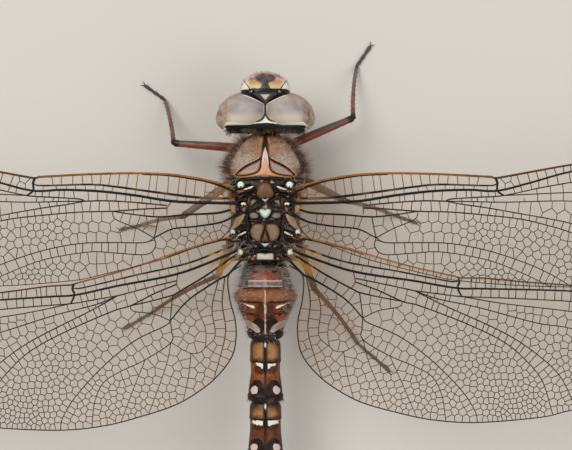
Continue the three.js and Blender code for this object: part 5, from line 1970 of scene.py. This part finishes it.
def make_foot(name, ankle, toe, finish, chance):
    """Three flattened joints, two claws and two rows of small spines."""
    feet = Gather()
    cuts = [0, 0.2, 0.48, 0.88]
    for start, end in zip(cuts, cuts[1:]):
        shares = np.linspace(start, end, 8)[:, None]
        path = ankle + (toe - ankle) * shares
        path[:, 2] = np.interp(shares[:, 0], [0, 0.3, 1], [0.26, 0.17, 0.16])
        rings = tube(path, [0.07, 0.1, 0.11, 0.12, 0.13, 0.14, 0.15, 0.11], 12)
        rings[..., :2] += (rings[..., :2] - path[:, None, :2]) * 0.4
        feet.add(wrap(rings))
    way = (toe - ankle) / np.linalg.norm(toe - ankle)
    across = np.array([-way[1], way[0], 0])
    tip = ankle + (toe - ankle) * 0.87
    for spread in (-1, 1):
        claw = [tip, tip + way * 0.25 + across * 0.12 * spread, tip + way * 0.5 + across * 0.3 * spread]
        claw = np.array(claw)
        claw[:, 2] = (0.17, 0.22, 0.05)
        claw = spline(claw, 0.06)
        feet.add(wrap(tube(claw, np.linspace(0.07, 0.015, len(claw)), 8)))
    sole = ankle + (toe - ankle) * np.linspace(0.05, 0.8, 12)[:, None] * (1, 1, 0)
    feet.add(spines(chance, sole, np.full(12, 0.1), 12, 0.25, 0.02))
    feet.piece(f"{name}_foot", finish, "foot", [f"leg_{name}_tarsus"])


def make_legs():
    """The six legs, one piece each for thigh, shin and foot."""
    thigh, shin = thigh_finish(), shin_finish()
    foot = Finish("Foot", Roughness=0.4)
    foot.set(Base_Color=foot.mix(foot.noise(1.5, 2.0), "#383236", "#5a4d4c"))
    chance = np.random.default_rng(31)
    for name, (hip, knee, ankle, toe) in LEGS.items():
        hip, knee = np.array(hip), np.array(knee)
        ankle, toe = np.array([*ankle, FOOT_AXIS + 0.05]), np.array([*toe, FOOT_AXIS])
        make_thigh(name, hip, knee, thigh, chance)
        make_shin(name, knee, ankle, shin, chance)
        make_foot(name, ankle, toe, foot, chance)


def spines(chance, path, thick, count, length, radius):
    """Two rows of short spines along a limb, leaning to its tip."""
    steps = np.linspace(0.12, 0.95, count)
    far = distances(path)
    points, faces = [], []
    for n, share in enumerate(steps):
        at = np.array([np.interp(share * far[-1], far, path[:, k]) for k in range(3)])
        ahead = path[min(len(path) - 1, int(share * len(path)) + 1)] - path[int(share * (len(path) - 2))]
        ahead /= np.linalg.norm(ahead) + 1e-9
        side = np.cross(ahead, (0, 0, 1.0)) * (1 if n % 2 else -1)
        way = side + ahead * 0.6 + (0, 0, chance.uniform(-0.4, 0.2))
        way /= np.linalg.norm(way)
        root = at + side * float(np.interp(share, np.linspace(0, 1, len(thick)), thick)) * 0.6
        tip = root + way * length * chance.uniform(0.7, 1.1)
        tip[2] = max(tip[2], 0.03)
        root[2] = max(root[2], 0.05)
        ring = tube([root, (root + tip) / 2, tip], [radius, radius * 0.8, radius * 0.2], 5)
        shape = wrap(ring)
        faces += [tuple(len(points) * len(shape[0]) + i for i in face) for face in shape[1]]
        points.append(shape[0])
    return np.concatenate(points), faces


def make_sheath():
    """The blades under the tail."""
    sheath = Finish("Sheath", Roughness=0.42, Base_Color="#2c1d15")
    rows = np.linspace(0, 1, 20)
    y = -27.6 - 4.6 * rows
    axis = abdomen_axis(y)
    centre = axis - 1.5 - 0.15 * np.sin(rows * math.pi)
    half = 0.16 + 0.42 * np.sin(rows * math.pi) ** 0.6
    rings = loft(y, centre, half, half * 0.7, half * 0.9, 28, 2.0)
    Gather().add(wrap(rings)).piece("sheath", sheath, "tail", ["ovipositor"])


# ---- Camera, light and floor ---------------------------------------------------------------
# These are in metres.
CAMERA_PLACE = (0.0022, 0.01586, 0.284)
LENS, SENSOR = 161.8, 36.0
AIM = Vector((0, 0.01, 0))  # where the lamps point
LAMPS = [((-0.25, 0.25, 0.5), 0.35, 2.2), ((0.35, -0.1, 0.45), 0.4, 0.9)]  # place, size, power
FLOOR_HALF = 900  # in millimetres, like every mesh


def make_camera():
    """The camera, looking straight down."""
    camera = bpy.data.objects.new("camera", bpy.data.cameras.new("camera"))
    camera.data.lens = LENS
    camera.data.sensor_width = SENSOR
    camera.data.clip_start = 0.01
    camera.location = CAMERA_PLACE
    bpy.context.scene.collection.objects.link(camera)
    bpy.context.scene.camera = camera


def make_floor():
    """A wide pale floor."""
    finish = Finish("Floor", Roughness=0.9, Base_Color="#cfc9c0")
    corners = [(x * FLOOR_HALF, y * FLOOR_HALF, 0) for x, y in ((-1, -1), (1, -1), (1, 1), (-1, 1))]
    floor = bpy.data.objects.new("floor", make_mesh("floor", corners, [(0, 1, 2, 3)]))
    floor.data.materials.append(finish.material)
    bpy.context.scene.collection.objects.link(floor)


def make_light():
    """Two soft lamps and an even pale sky."""
    scene = bpy.context.scene
    for place, size, power in LAMPS:
        lamp = bpy.data.objects.new("lamp", bpy.data.lights.new("lamp", "AREA"))
        lamp.data.size = size
        lamp.data.energy = power
        lamp.location = place
        lamp.rotation_euler = (AIM - Vector(place)).to_track_quat("-Z", "Y").to_euler()
        scene.collection.objects.link(lamp)
    world = bpy.data.worlds.new("world")
    world.use_nodes = True
    sky = world.node_tree.nodes["Background"].inputs
    sky["Color"].default_value = (1, 1, 1, 1)
    sky["Strength"].default_value = 0.5
    scene.world = world
    scene.view_settings.view_transform = "Standard"


make_wings()
make_thorax()
make_head()
make_abdomen()
make_legs()
make_sheath()
make_camera()
make_floor()
make_light()
